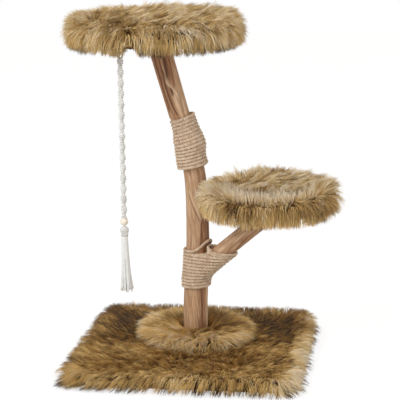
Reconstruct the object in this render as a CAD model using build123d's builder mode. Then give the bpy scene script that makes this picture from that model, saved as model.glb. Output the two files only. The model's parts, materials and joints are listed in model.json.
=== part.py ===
from build123d import *

import os
from math import atan2, cos, exp, hypot, log, pi, sin, sqrt

# A cat tree: a fur covered base, a bent driftwood trunk with a limb lashed on at a fork,
# two round fur perches, and a knotted cord toy under the top perch.
# The origin is on the floor under the middle of the base, +X right, +Y back, +Z up.
# All lengths are in millimetres.

os.makedirs("parts", exist_ok=True)

# Clearances
soft_gap = 0.3  # between fur, felt or foam and its neighbour
wood_gap = 0.1  # between a wooden piece and the bore it sits in
cope_gap = 0.2  # between the limb's coped end and the trunk
thread_gap = 0.05  # between a screw and its pilot hole
wire_gap = 0.1  # between two linked wires
bead_gap = 0.05  # between the bead's bore and its cord

# Fur pile and its hems
pile_side = 30.0  # pile standing out from a board's edge
hem_t = 2.7  # backing cloth folded under a board
staple_crown = 10.0
staple_leg = 7.0
staple_wire = 1.0

# Base
base_side = 416.0
base_corner = 24.0
base_board_t = 18.0
base_board_ease = 1.0
base_hem_w = 36.0
base_pile_top = 20.0
base_edge_round = 15.0
base_hem_round = 6.0
base_staples_per_side = 5
base_staple_step = 80.0
backing_t = 2.0
backing_inset = 10.0

# Plinth, the collar round the trunk's foot
plinth_r = 90.0
plinth_t = 22.0
plinth_pile_top = 24.0
plinth_crown = 31.0  # highest pile above the collar
plinth_crown_r = 66.0
plinth_screw_count = 3
plinth_screw_ring = 58.0

# Trunk
foot_x = -4.5
foot_y = 49.0
foot_r = 25.7
neck_r = 22.3  # thinnest, part way up
neck_z = 480.0
seat_r = 23.7
tenon_r = 22.0
trunk_seat_z = 662.0
trunk_lean = 0.285  # sideways run per unit of height above the bend
bend_z = 391.0
bend_soft = 25.0
step_x = 6.8  # sideways step of the lower trunk
step_low_z = 70.0
step_high_z = 262.0
sway = 4.0  # wander to the back and front
burl = 5.5  # swelling at the bend
burl_z = 450.0
burl_soft = 22.0
trunk_sections = 30

# Foot fixing
bolt_r = 5.0
bolt_depth = 70.0
bolt_head_r = 8.5
bolt_head_t = 6.0
washer_r = 12.0
washer_t = 2.0
recess_r = 14.0
recess_deep = 9.0

# Side limb
limb_root_z = 171.0
limb_root_r = 20.0
limb_tip_r = 18.0
limb_flare = 60.0  # length over which the root thins
limb_sections = 9
limb_seat_x = 174.3
limb_seat_y = -24.9
limb_seat_z = 331.0
dowel_r = 4.0
dowel_spread = 11.0
dowel_from = 12.0  # along the limb's axis, from the trunk's axis
dowel_to = 72.0
fork_screw_r = 3.0
fork_screw_reach = 95.0
fork_head_r = 6.0
fork_head_t = 4.0
fork_head_sunk = 7.0

# Jute lashings
rope_r = 3.0
rope_gap = 0.3  # between the rope and the wood
rope_pitch = 7.0
upper_lash_z = 401.0
upper_lash_turns = 15
lower_lash_z = 142.0
lower_lash_turns = 11  # round trunk and limb
crotch_turns = 1  # then round the trunk alone, rising into the crotch
crotch_rise = 10.0
lash_blend = 5.0  # rounding where a turn leaves the trunk for the limb
lash_start = 0.5  # both lashings begin at the back, in half turns from +X

# Perches
perch_board_t = 15.0
perch_hem_w = 20.0
perch_fringe = 8.0  # pile hanging below a board
perch_fringe_in = 11.0
perch_pile_top = 22.0
perch_shoulder = 22.0
perch_shoulder_drop = 6.0
pad_inset = 2.0
pad_edge = 14.0
pad_crown = 20.0
pad_bulge = 1.5
perch_staple_count = 12
top_board_r = 156.0
top_shift_x = -5.0  # perch middle from the trunk's top
side_board_r = 116.5
side_back = 18.0  # perch middle from the limb's seat, towards the trunk

# Perch flanges and their screws
flange_r = 42.0
flange_t = 4.0
flange_screw_count = 4
flange_screw_ring = 34.0
board_screw_r = 2.25
board_screw_len = 16.0
board_screw_head_r = 4.2
board_screw_head_t = 2.4
post_screw_r = 2.5
post_screw_head_r = 5.0
post_screw_sink = 2.5
trunk_screw_len = 45.0
trunk_screw_ring = 13.0
trunk_screw_count = 3
limb_screw_len = 18.0
limb_screw_back = 14.0
limb_screw_spread = 10.0
slot_w = 0.8
slot_deep = 1.0

# Toy
toy_left = 51.565  # from the top perch's middle
toy_front_in = 47.0  # in from the top board's front edge
eye_wire_r = 1.2
eye_r = 4.5
eye_drop = 6.0  # eye's middle below the board
eye_shank_r = 1.5
eye_shank_len = 11.0
ring_wire_r = 1.0
ring_r = 5.5
loop_cord_r = 2.0
loop_r = 5.0
cord_r = 7.0
cord_round = 3.0
core_r = 3.0
cord_bottom_z = 314.0
bead_r = 8.3
bead_bore_r = core_r + bead_gap
knot_r = 8.0
knot_h = 22.0
tassel_waist_r = 6.0
tassel_end_r = 12.0
tassel_end_z = 158.0
tassel_flare = 0.1  # outward slope at the waist

# Levels worked out from the sizes above
base_board_z = backing_t + hem_t + soft_gap
base_top_z = base_board_z + base_board_t
base_fur_z = base_top_z + soft_gap + base_pile_top
plinth_top_z = base_top_z + plinth_t
foot = (foot_x, foot_y)


def save(piece, name):
    """Label a finished piece and write it as its own file."""
    piece.part.label = name
    export_step(piece.part, f"parts/{name}.step")


def ease(z, low, high):
    """0 below low, 1 above high, and a smooth step between."""
    along = min(max((z - low) / (high - low), 0.0), 1.0)
    return (1 - cos(pi * along)) / 2


def trunk_x(z):
    """Trunk's axis: a step to the right below, then a steady lean to the left."""
    lean = trunk_lean * bend_soft * log(1 + exp((z - bend_z) / bend_soft))
    return foot_x + step_x * ease(z, step_low_z, step_high_z) - lean


def trunk_y(z):
    """Trunk's axis: straight at the foot, then one wave, to the back and to the front."""
    wave = sin(2 * pi * (z - step_low_z) / (trunk_seat_z - step_low_z))
    return foot_y + sway * wave * ease(z, step_low_z, step_high_z)


def trunk_r(z):
    """Thins from the foot to the neck, widens to the seat, and swells at the burl."""
    below = (neck_r - foot_r) * ease(z, plinth_top_z, neck_z)
    above = (seat_r - neck_r) * ease(z, neck_z, trunk_seat_z)
    return foot_r + below + above + burl * exp(-(((z - burl_z) / burl_soft) ** 2))


def trunk_body(extra):
    """The trunk above its tenon, grown by extra all round."""
    step = (trunk_seat_z - plinth_top_z) / (trunk_sections - 1)
    with BuildPart() as body:
        for index in range(trunk_sections):
            z = plinth_top_z + step * index
            with BuildSketch(Plane.XY.offset(z)):
                with Locations((trunk_x(z), trunk_y(z))):
                    Circle(trunk_r(z) + extra)
        loft()
    return body.part


# Axis of the side limb, from the trunk's axis to its flat seat
limb_root = Vector(trunk_x(limb_root_z), trunk_y(limb_root_z), limb_root_z)
limb_seat = Vector(limb_seat_x, limb_seat_y, limb_seat_z)
limb_dir = (limb_seat - limb_root).normalized()
limb_plan = Vector(limb_dir.X, limb_dir.Y, 0).normalized()
limb_side = Vector(-limb_plan.Y, limb_plan.X, 0)
limb_length = (limb_seat - limb_root).length
limb_run = hypot(limb_dir.X, limb_dir.Y)


def limb_r(along):
    """Limb's radius at a distance along its axis: a flared root, then straight."""
    return limb_tip_r + (limb_root_r - limb_tip_r) * exp(-((along / limb_flare) ** 2))


# Base
with BuildPart() as base_backing:
    backing_side = base_side - 2 * backing_inset
    with BuildSketch():
        RectangleRounded(backing_side, backing_side, base_corner - backing_inset / 2)
    extrude(amount=backing_t)
save(base_backing, "base_backing")

plinth_screw_len = base_board_t + plinth_t - 2 * board_screw_head_t
with BuildPart() as base_board:
    with BuildSketch(Plane.XY.offset(base_board_z)):
        RectangleRounded(base_side, base_side, base_corner)
    extrude(amount=base_board_t)
    fillet(base_board.faces().sort_by(Axis.Z)[-1].edges(), base_board_ease)
    with Locations((foot_x, foot_y, base_board_z)):
        bottom_up = (Align.CENTER, Align.CENTER, Align.MIN)
        Cylinder(recess_r, recess_deep, align=bottom_up, mode=Mode.SUBTRACT)
        Cylinder(bolt_r + thread_gap, base_board_t, align=bottom_up, mode=Mode.SUBTRACT)
    with Locations((foot_x, foot_y, base_board_z)):
        with PolarLocations(plinth_screw_ring, plinth_screw_count):
            Cylinder(
                board_screw_head_r + thread_gap,
                board_screw_head_t,
                align=bottom_up,
                mode=Mode.SUBTRACT,
            )
            Cylinder(
                board_screw_r + thread_gap,
                base_board_t,
                align=bottom_up,
                mode=Mode.SUBTRACT,
            )
save(base_board, "base_board")

with BuildPart() as base_cover:
    outer_side = base_side + 2 * pile_side
    with BuildSketch(Plane.XY.offset(backing_t)):
        RectangleRounded(outer_side, outer_side, base_corner + pile_side)
    extrude(amount=base_fur_z - backing_t)
    fillet(base_cover.faces().sort_by(Axis.Z)[-1].edges(), base_edge_round)
    fillet(base_cover.faces().sort_by(Axis.Z)[0].edges(), base_hem_round)
    with BuildSketch(Plane.XY.offset(base_board_z - soft_gap)):
        pocket_side = base_side + 2 * soft_gap
        RectangleRounded(pocket_side, pocket_side, base_corner + soft_gap)
    extrude(amount=base_board_t + 2 * soft_gap, mode=Mode.SUBTRACT)
    with BuildSketch(Plane.XY.offset(backing_t)):
        hem_side = base_side - 2 * base_hem_w
        Rectangle(hem_side, hem_side)
    extrude(amount=hem_t, mode=Mode.SUBTRACT)
    with BuildSketch(Plane.XY.offset(base_top_z)):
        with Locations(foot):
            Circle(plinth_r + soft_gap)
    extrude(amount=base_fur_z, mode=Mode.SUBTRACT)
save(base_cover, "base_cover")


def staple():
    """One staple, its crown flush with the hem's underside and its legs upward."""
    reach = (staple_crown - staple_wire) / 2
    on_hem = (Align.CENTER, Align.CENTER, Align.MIN)
    Box(staple_wire, staple_crown, staple_wire, align=on_hem)
    with Locations((0, reach, 0), (0, -reach, 0)):
        Box(staple_wire, staple_wire, staple_leg, align=on_hem)


with BuildPart() as base_staples:
    row_reach = base_side / 2 - base_hem_w / 2
    with Locations((0, 0, backing_t)):
        with PolarLocations(row_reach, 4):
            with GridLocations(0, base_staple_step, 1, base_staples_per_side):
                staple()
save(base_staples, "base_staples")

# Plinth and the trunk's fixing
with BuildPart() as plinth_disc:
    with BuildSketch(Plane.XY.offset(base_top_z)):
        with Locations(foot):
            Circle(plinth_r)
            Circle(tenon_r + wood_gap, mode=Mode.SUBTRACT)
            with PolarLocations(plinth_screw_ring, plinth_screw_count):
                Circle(board_screw_r + thread_gap, mode=Mode.SUBTRACT)
    extrude(amount=plinth_t)
save(plinth_disc, "plinth_disc")

collar_r = foot_r + 2 * soft_gap
foot_plane = Plane(origin=(foot_x, foot_y, 0), x_dir=(1, 0, 0), z_dir=(0, -1, 0))
with BuildPart() as plinth_cover:
    with BuildSketch(foot_plane):
        with BuildLine():
            under = plinth_top_z + soft_gap
            skirt = base_fur_z + soft_gap
            inner_top = (collar_r, plinth_top_z + plinth_pile_top)
            crown = (plinth_crown_r, plinth_top_z + plinth_crown)
            outer = (plinth_r + pile_side, skirt)
            Polyline(
                outer,
                (plinth_r + soft_gap, skirt),
                (plinth_r + soft_gap, under),
                (collar_r, under),
                inner_top,
            )
            TangentArc(crown, inner_top, tangent=(-1, 0))
            TangentArc(crown, outer, tangent=(1, 0))
        make_face()
    revolve(axis=Axis((foot_x, foot_y, 0), (0, 0, 1)))
save(plinth_cover, "plinth_cover")


def screws(name, points, seat_z, shank_r, shank_len, head_r, head_t):
    """Slotted round heads under seat_z, with their shanks upward."""
    upward = (Align.CENTER, Align.CENTER, Align.MIN)
    downward = (Align.CENTER, Align.CENTER, Align.MAX)
    with BuildPart() as group:
        with Locations(*[(x, y, seat_z) for x, y in points]):
            Cylinder(shank_r, shank_len, align=upward)
            Cylinder(head_r, head_t, align=downward)
        with Locations(*[(x, y, seat_z - head_t) for x, y in points]):
            Box(2 * head_r, slot_w, slot_deep, align=upward, mode=Mode.SUBTRACT)
    save(group, name)


def ring_points(centre, radius, count):
    """Points evenly spaced on a circle, from +X on."""
    turn = 2 * pi / count
    return [
        (centre[0] + radius * cos(turn * k), centre[1] + radius * sin(turn * k))
        for k in range(count)
    ]


screws(
    "plinth_screws",
    ring_points(foot, plinth_screw_ring, plinth_screw_count),
    base_board_z + board_screw_head_t,
    board_screw_r,
    plinth_screw_len,
    board_screw_head_r,
    board_screw_head_t,
)

washer_top_z = base_board_z + recess_deep
with BuildPart() as foot_washer:
    with BuildSketch(Plane.XY.offset(washer_top_z - washer_t)):
        with Locations(foot):
            Circle(washer_r)
            Circle(bolt_r + thread_gap, mode=Mode.SUBTRACT)
    extrude(amount=washer_t)
save(foot_washer, "foot_washer")

with BuildPart() as foot_bolt:
    with BuildSketch(Plane.XY.offset(washer_top_z - washer_t)):
        with Locations(foot):
            RegularPolygon(bolt_head_r, 6)
    extrude(amount=-bolt_head_t)
    with BuildSketch(Plane.XY.offset(washer_top_z - washer_t)):
        with Locations(foot):
            Circle(bolt_r)
    extrude(amount=washer_t + base_board_t - recess_deep + bolt_depth)
    chamfer(foot_bolt.faces().sort_by(Axis.Z)[-1].edges(), bolt_r / 2)
save(foot_bolt, "foot_bolt")

# Trunk
trunk_top = (trunk_x(trunk_seat_z), trunk_y(trunk_seat_z))
fork_head_at = foot_r / limb_run - fork_head_sunk - fork_head_t
dowel_roots = [limb_root + limb_side * side for side in (dowel_spread, -dowel_spread)]


def along_limb(origin, start, stop, radius, mode):
    """A round bar or bore along the limb's axis, between two distances from origin."""
    foot_end = (Align.CENTER, Align.CENTER, Align.MIN)
    with Locations(Plane(origin=origin + limb_dir * start, z_dir=limb_dir).location):
        Cylinder(radius, stop - start, align=foot_end, mode=mode)


with BuildPart() as trunk:
    add(trunk_body(0))
    with BuildSketch(Plane.XY.offset(base_top_z)):
        with Locations(foot):
            Circle(tenon_r)
    extrude(amount=plinth_t)
    with BuildSketch(Plane.XY.offset(base_top_z)):
        with Locations(foot):
            Circle(bolt_r + thread_gap)
    extrude(amount=bolt_depth, mode=Mode.SUBTRACT)
    with BuildSketch(Plane.XY.offset(trunk_seat_z)):
        with Locations(*ring_points(trunk_top, trunk_screw_ring, trunk_screw_count)):
            Circle(post_screw_r + thread_gap)
    extrude(amount=-trunk_screw_len, mode=Mode.SUBTRACT)
    for dowel_root in dowel_roots:
        along_limb(dowel_root, dowel_from, dowel_to, dowel_r + wood_gap, Mode.SUBTRACT)
    bore_r = fork_screw_r + thread_gap
    along_limb(limb_root, -fork_head_at, fork_screw_reach, bore_r, Mode.SUBTRACT)
    recess_end = -fork_head_at - fork_head_t - 2 * foot_r
    sunk_r = fork_head_r + wood_gap
    along_limb(limb_root, recess_end, -fork_head_at, sunk_r, Mode.SUBTRACT)
save(trunk, "trunk")

# Side limb
limb_screw_points = [
    limb_seat - limb_plan * limb_screw_back,
    limb_seat + limb_side * limb_screw_spread,
    limb_seat - limb_side * limb_screw_spread,
]
limb_screw_points = [(point.X, point.Y) for point in limb_screw_points]
with BuildPart() as side_branch:
    limb_step = (limb_length + 2 * limb_tip_r) / (limb_sections - 1)
    for index in range(limb_sections):
        along = limb_step * index
        with BuildSketch(Plane(origin=limb_root + limb_dir * along, z_dir=limb_dir)):
            Circle(limb_r(along))
    loft()
    with Locations(limb_seat):
        saw = 8 * limb_tip_r
        Box(saw, saw, saw, align=(Align.CENTER, Align.CENTER, Align.MIN), mode=Mode.SUBTRACT)
    add(trunk_body(cope_gap), mode=Mode.SUBTRACT)
    for dowel_root in dowel_roots:
        along_limb(dowel_root, dowel_from, dowel_to, dowel_r + wood_gap, Mode.SUBTRACT)
    along_limb(limb_root, 0, fork_screw_reach, bore_r, Mode.SUBTRACT)
    with BuildSketch(Plane.XY.offset(limb_seat_z)):
        with Locations(*limb_screw_points):
            Circle(post_screw_r + thread_gap)
    extrude(amount=-limb_screw_len, mode=Mode.SUBTRACT)
save(side_branch, "side_branch")

with BuildPart() as fork_dowels:
    for dowel_root in dowel_roots:
        along_limb(dowel_root, dowel_from, dowel_to, dowel_r, Mode.ADD)
save(fork_dowels, "fork_dowels")

with BuildPart() as fork_screw:
    along_limb(limb_root, -fork_head_at, fork_screw_reach, fork_screw_r, Mode.ADD)
    along_limb(limb_root, -fork_head_at - fork_head_t, -fork_head_at, fork_head_r, Mode.ADD)
save(fork_screw, "fork_screw")

# Jute lashings
rope_out = rope_r + rope_gap
crotch_z = lower_lash_z + rope_pitch * lower_lash_turns


def slope(of_height, z):
    """Slope of a function of height."""
    step = 0.01
    return (of_height(z + step) - of_height(z - step)) / (2 * step)


def upper_turn(angle, level):
    """Rope's middle on the bend: turns square to the trunk's axis, resting on its surface."""
    lean_x = slope(trunk_x, level)
    lean_y = slope(trunk_y, level)
    z = level
    for _ in range(4):
        run_x = trunk_x(z) + trunk_r(z) * cos(angle) - trunk_x(level)
        run_y = trunk_y(z) + trunk_r(z) * sin(angle) - trunk_y(level)
        z = level - lean_x * run_x - lean_y * run_y
    rise = -slope(trunk_r, z) - slope(trunk_x, z) * cos(angle) - slope(trunk_y, z) * sin(angle)
    out = Vector(cos(angle), sin(angle), rise).normalized()
    on_bark = Vector(trunk_x(z), trunk_y(z), z) + Vector(cos(angle), sin(angle)) * trunk_r(z)
    return on_bark + out * rope_out


def limb_nose(level):
    """How far out a level turn meets the limb's underside, and its radius round the limb there."""
    along = 0.0
    for _ in range(12):
        limb_out = limb_r(along) + rope_out
        along = (level - limb_root_z + limb_out * limb_run) / limb_dir.Z
    return along * limb_run + limb_out * limb_dir.Z, limb_out


def limb_bearing(angle):
    """Angle from the limb's direction in plan."""
    return angle - atan2(limb_plan.Y, limb_plan.X)


def lower_reach(angle, level):
    """Distance from the trunk's axis to a turn's tangent line, round trunk and limb together."""
    round_trunk = trunk_r(level) + rope_out
    if level > crotch_z:
        return round_trunk
    nose, limb_out = limb_nose(level)
    offset = max(nose - limb_out, 0)
    round_limb = nose - offset + offset * cos(limb_bearing(angle))
    high = max(round_trunk, round_limb)
    spread = exp((round_trunk - high) / lash_blend) + exp((round_limb - high) / lash_blend)
    return high + lash_blend * log(spread)


def lower_turn(angle, level):
    """Rope's middle at the fork: a level oval whose tangent lines lie at lower_reach."""
    step = 0.001
    reach = lower_reach(angle, level)
    turn = (lower_reach(angle + step, level) - lower_reach(angle - step, level)) / (2 * step)
    x = trunk_x(level) + reach * cos(angle) - turn * sin(angle)
    y = trunk_y(level) + reach * sin(angle) + turn * cos(angle)
    toward_limb = max(cos(limb_bearing(angle)), 0)
    rise = crotch_rise * toward_limb**2 if level > crotch_z else 0
    return Vector(x, y, level + rise)


def rope_point(turn_shape, low_z, share):
    """Rope's middle after a number of turns."""
    angle = pi * lash_start + 2 * pi * share
    return turn_shape(angle, low_z + rope_pitch * share)


def rope_heading(turn_shape, low_z, share):
    """Direction of the rope there."""
    step = 0.0005
    ahead = rope_point(turn_shape, low_z, share + step)
    return (ahead - rope_point(turn_shape, low_z, share - step)).normalized()


def biarc_joint(start, start_dir, stop, stop_dir):
    """Where the two arcs that join two headed points meet, and the heading there."""
    chord = stop - start
    both = start_dir + stop_dir
    square = 2 * (1 - start_dir.dot(stop_dir))
    linear = chord.dot(both)
    reach = (sqrt(linear**2 + square * chord.dot(chord)) - linear) / square
    first = start + start_dir * reach
    second = stop - stop_dir * reach
    return (first + second) * 0.5, (second - first).normalized()


def lashing(name, turn_shape, low_z, turns, nodes_per_turn):
    """One unbroken rope: a helix of arcs, with straight ends one rope diameter long."""
    shares = [index / nodes_per_turn for index in range(turns * nodes_per_turn + 1)]
    points = [rope_point(turn_shape, low_z, share) for share in shares]
    headings = [rope_heading(turn_shape, low_z, share) for share in shares]
    tail = points[0] - headings[0] * 2 * rope_r
    with BuildPart() as rope:
        with BuildLine() as path:
            Line(tail, points[0])
            for index in range(len(points) - 1):
                start, stop = points[index], points[index + 1]
                joint, heading = biarc_joint(start, headings[index], stop, headings[index + 1])
                TangentArc(start, joint, tangent=headings[index])
                TangentArc(joint, stop, tangent=heading)
            Line(points[-1], points[-1] + headings[-1] * 2 * rope_r)
        with BuildSketch(Plane(origin=tail, z_dir=headings[0])):
            Circle(rope_r)
        sweep(path=path.wires()[0])
    save(rope, name)

    length = path.wires()[0].length
    samples_per_turn = 48
    samples = turns * samples_per_turn
    middle = [path.wires()[0].position_at(k / samples) for k in range(samples + 1)]
    apart = samples_per_turn // 2
    least = min(
        (middle[a] - middle[b]).length
        for a in range(samples + 1)
        for b in range(a + apart, min(a + 3 * apart, samples + 1))
    )
    whole = pi * rope_r**2 * length
    print(f"{name}: {turns} turns, {length:.0f} mm of rope, least gap {least - 2 * rope_r:.2f} mm,")
    print(f"  volume {rope.part.volume / whole:.4f} of section times length")


round_nodes = 4  # arcs' meeting points on a round turn
oval_nodes = 8  # and on an oval one
lashing("upper_lashing", upper_turn, upper_lash_z, upper_lash_turns, round_nodes)
lashing("lower_lashing", lower_turn, lower_lash_z, lower_lash_turns + crotch_turns, oval_nodes)


def perch_flange(name, centre, seat_z, post_points):
    """Round plate on a post's top, sunk for the post's screws and drilled for the board's."""
    top = seat_z + flange_t
    with BuildPart() as flange:
        with BuildSketch(Plane.XY.offset(seat_z)):
            with Locations(centre):
                Circle(flange_r)
                with PolarLocations(flange_screw_ring, flange_screw_count):
                    Circle(board_screw_r + thread_gap, mode=Mode.SUBTRACT)
        extrude(amount=flange_t)
        with BuildSketch(Plane.XY.offset(seat_z)):
            with Locations(*post_points):
                Circle(post_screw_r + thread_gap)
        extrude(amount=flange_t, mode=Mode.SUBTRACT)
        with Locations(*[(x, y, top) for x, y in post_points]):
            Cone(
                post_screw_r + thread_gap,
                post_screw_head_r + thread_gap,
                post_screw_sink,
                align=(Align.CENTER, Align.CENTER, Align.MAX),
                mode=Mode.SUBTRACT,
            )
    save(flange, name)


def post_screws(name, seat_z, post_points, depth):
    """Sunk screws from a flange's top down into its post."""
    top = seat_z + flange_t
    hang = (Align.CENTER, Align.CENTER, Align.MAX)
    with BuildPart() as group:
        with Locations(*[(x, y, top) for x, y in post_points]):
            Cone(post_screw_r, post_screw_head_r, post_screw_sink, align=hang)
            Cylinder(post_screw_r, flange_t + depth - thread_gap, align=hang)
            Box(post_screw_head_r, slot_w, slot_deep, align=hang, mode=Mode.SUBTRACT)
    save(group, name)


def perch_board(name, centre, board_z, radius, pilot_points, eye_points):
    """Round plywood board with pilot holes from below."""
    with BuildPart() as board:
        with BuildSketch(Plane.XY.offset(board_z)):
            with Locations(centre):
                Circle(radius)
        extrude(amount=perch_board_t)
        with BuildSketch(Plane.XY.offset(board_z)):
            with Locations(*pilot_points):
                Circle(board_screw_r + thread_gap)
        extrude(amount=board_screw_len - flange_t, mode=Mode.SUBTRACT)
        if eye_points:
            with BuildSketch(Plane.XY.offset(board_z)):
                with Locations(*eye_points):
                    Circle(eye_shank_r + thread_gap)
            extrude(amount=eye_shank_len, mode=Mode.SUBTRACT)
    save(board, name)


def perch_pad(name, centre, pad_z, radius):
    """Foam pad with a crowned top and a rounded side."""
    pad_r = radius - pad_inset
    plane = Plane(origin=(*centre, 0), x_dir=(1, 0, 0), z_dir=(0, -1, 0))
    with BuildPart() as pad:
        with BuildSketch(plane):
            with BuildLine():
                rim = (pad_r, pad_z + pad_edge)
                Polyline((0, pad_z + pad_crown), (0, pad_z), (pad_r, pad_z))
                ThreePointArc((pad_r, pad_z), (pad_r + pad_bulge, pad_z + pad_edge / 2), rim)
                TangentArc((0, pad_z + pad_crown), rim, tangent=(1, 0))
            make_face()
        revolve(axis=Axis((*centre, 0), (0, 0, 1)))
    save(pad, name)


def perch_cover(name, centre, board_z, radius):
    """Fur cover: a crowned top, full sides that draw in below, and a hem under the board."""
    pad_z = board_z + perch_board_t + soft_gap
    pocket_r = radius + pad_bulge + soft_gap
    pocket_rim = (pocket_r, pad_z + pad_edge + soft_gap)
    pocket_top = (0, pad_z + pad_crown + soft_gap)
    top_z = pad_z + pad_crown + soft_gap + perch_pile_top
    shoulder = (radius + pile_side - perch_shoulder, top_z - perch_shoulder_drop)
    fringe_z = board_z - perch_fringe
    fringe = (radius + pile_side - perch_fringe_in, fringe_z)
    hem_z = board_z - soft_gap
    belly = (radius + pile_side, (shoulder[1] + fringe_z) / 2)
    plane = Plane(origin=(*centre, 0), x_dir=(1, 0, 0), z_dir=(0, -1, 0))
    with BuildPart() as cover:
        with BuildSketch(plane):
            with BuildLine():
                TangentArc(pocket_top, pocket_rim, tangent=(1, 0))
                Polyline(
                    pocket_rim,
                    (pocket_r, hem_z),
                    (radius - perch_hem_w, hem_z),
                    (radius - perch_hem_w, hem_z - hem_t),
                    (radius, hem_z - hem_t),
                    fringe,
                )
                ThreePointArc(fringe, belly, shoulder)
                TangentArc((0, top_z), shoulder, tangent=(1, 0))
                Line((0, top_z), pocket_top)
            make_face()
        revolve(axis=Axis((*centre, 0), (0, 0, 1)))
    save(cover, name)


def perch_staples(name, centre, board_z, radius):
    """A ring of staples through the hem."""
    hem_bottom = board_z - soft_gap - hem_t
    with BuildPart() as group:
        with Locations((*centre, hem_bottom)):
            with PolarLocations(radius - perch_hem_w / 2, perch_staple_count):
                staple()
    save(group, name)


def perch(side, centre, seat_z, radius, post_points, post_name, post_depth, eye_points):
    """All the pieces of one perch, from its post's flat top upward."""
    board_z = seat_z + flange_t
    bolt_points = ring_points(post_middle[side], flange_screw_ring, flange_screw_count)
    perch_flange(f"{side}_flange", post_middle[side], seat_z, post_points)
    post_screws(post_name, seat_z, post_points, post_depth)
    screws(
        f"{side}_board_screws",
        bolt_points,
        seat_z,
        board_screw_r,
        board_screw_len - thread_gap,
        board_screw_head_r,
        board_screw_head_t,
    )
    perch_board(f"{side}_board", centre, board_z, radius, bolt_points, eye_points)
    perch_pad(f"{side}_pad", centre, board_z + perch_board_t + soft_gap, radius)
    perch_cover(f"{side}_cover", centre, board_z, radius)
    perch_staples(f"{side}_staples", centre, board_z, radius)


post_middle = {"top": trunk_top, "side": (limb_seat_x, limb_seat_y)}
top_middle = (trunk_top[0] + top_shift_x, trunk_top[1])
side_middle = limb_seat - limb_plan * side_back
toy_x = top_middle[0] - toy_left
toy_y = top_middle[1] - top_board_r + toy_front_in
perch(
    "top",
    top_middle,
    trunk_seat_z,
    top_board_r,
    ring_points(trunk_top, trunk_screw_ring, trunk_screw_count),
    "top_trunk_screws",
    trunk_screw_len,
    [(toy_x, toy_y)],
)
perch(
    "side",
    (side_middle.X, side_middle.Y),
    limb_seat_z,
    side_board_r,
    limb_screw_points,
    "side_branch_screws",
    limb_screw_len,
    [],
)

# Toy
eye_z = trunk_seat_z + flange_t - eye_drop
eye_low_z = eye_z - eye_r
ring_z = eye_low_z + eye_wire_r + ring_wire_r + wire_gap - ring_r
ring_low_z = ring_z - ring_r
loop_z = ring_low_z + ring_wire_r + loop_cord_r + wire_gap - loop_r
cord_top_z = loop_z - loop_r
bead_z = cord_bottom_z - bead_r
knot_top_z = bead_z - bead_r
knot_low_z = knot_top_z - knot_h
toy_plane = Plane(origin=(toy_x, toy_y, 0), x_dir=(1, 0, 0), z_dir=(0, -1, 0))
toy_axis = Axis((toy_x, toy_y, 0), (0, 0, 1))

with BuildPart() as toy_eye:
    with Locations(Location((toy_x, toy_y, eye_z), (90, 0, 0))):
        Torus(eye_r, eye_wire_r)
    with Locations((toy_x, toy_y, eye_z + eye_r)):
        shank = eye_drop - eye_r + eye_shank_len - thread_gap
        Cylinder(eye_shank_r, shank, align=(Align.CENTER, Align.CENTER, Align.MIN))
save(toy_eye, "toy_eye")

with BuildPart() as toy_ring:
    with Locations(Location((toy_x, toy_y, ring_z), (0, 90, 0))):
        Torus(ring_r, ring_wire_r)
save(toy_ring, "toy_ring")

with BuildPart() as toy_cord:
    with Locations(Location((toy_x, toy_y, loop_z), (90, 0, 0))):
        Torus(loop_r, loop_cord_r)
    with BuildSketch(toy_plane):
        with BuildLine():
            Polyline(
                (0, cord_top_z),
                (0, knot_top_z),
                (core_r, knot_top_z),
                (core_r, cord_bottom_z),
                (cord_r - cord_round, cord_bottom_z),
                (cord_r, cord_bottom_z + cord_round),
                (cord_r, cord_top_z - cord_round),
                (cord_r - cord_round, cord_top_z),
                (0, cord_top_z),
            )
        make_face()
    revolve(axis=toy_axis)
save(toy_cord, "toy_cord")

with BuildPart() as toy_bead:
    with Locations((toy_x, toy_y, bead_z)):
        Sphere(bead_r)
        Cylinder(bead_bore_r, 4 * bead_r, mode=Mode.SUBTRACT)
save(toy_bead, "toy_bead")

with BuildPart() as toy_knot:
    with BuildSketch(toy_plane):
        with BuildLine():
            knot_mid = (knot_r, (knot_top_z + knot_low_z) / 2)
            knot_top = (core_r, knot_top_z)
            knot_low = (tassel_waist_r, knot_low_z)
            Polyline(knot_low, (0, knot_low_z), (0, knot_top_z), knot_top)
            ThreePointArc(knot_top, knot_mid, knot_low)
        make_face()
    revolve(axis=toy_axis)
save(toy_knot, "toy_knot")

with BuildPart() as toy_tassel:
    with BuildSketch(toy_plane):
        with BuildLine():
            Polyline(
                (tassel_waist_r, knot_low_z),
                (0, knot_low_z),
                (0, tassel_end_z),
                (tassel_end_r, tassel_end_z),
            )
            waist = (tassel_waist_r, knot_low_z)
            TangentArc(waist, (tassel_end_r, tassel_end_z), tangent=(tassel_flare, -1))
        make_face()
    revolve(axis=toy_axis)
save(toy_tassel, "toy_tassel")

swing_z = (round(eye_low_z, 3), round(ring_low_z, 3))
print(f"toy swings about z = {swing_z[0]} in the eye and z = {swing_z[1]} in the ring")
print(f"top perch middle {top_middle}, trunk top {trunk_top}")
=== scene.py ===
# %% [markdown]
# # A cat tree of driftwood, faux fur and jute rope
# The solid model gives every piece its size and place. This lesson dresses it: the hanging toy
# first, then the wood, the rope, the cushions and the fur, and last the light. Lengths are worked
# out in millimetres, as a maker would, and become metres when a mesh is made.

# %% Load the solid model as a fixed frame
import json

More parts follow.
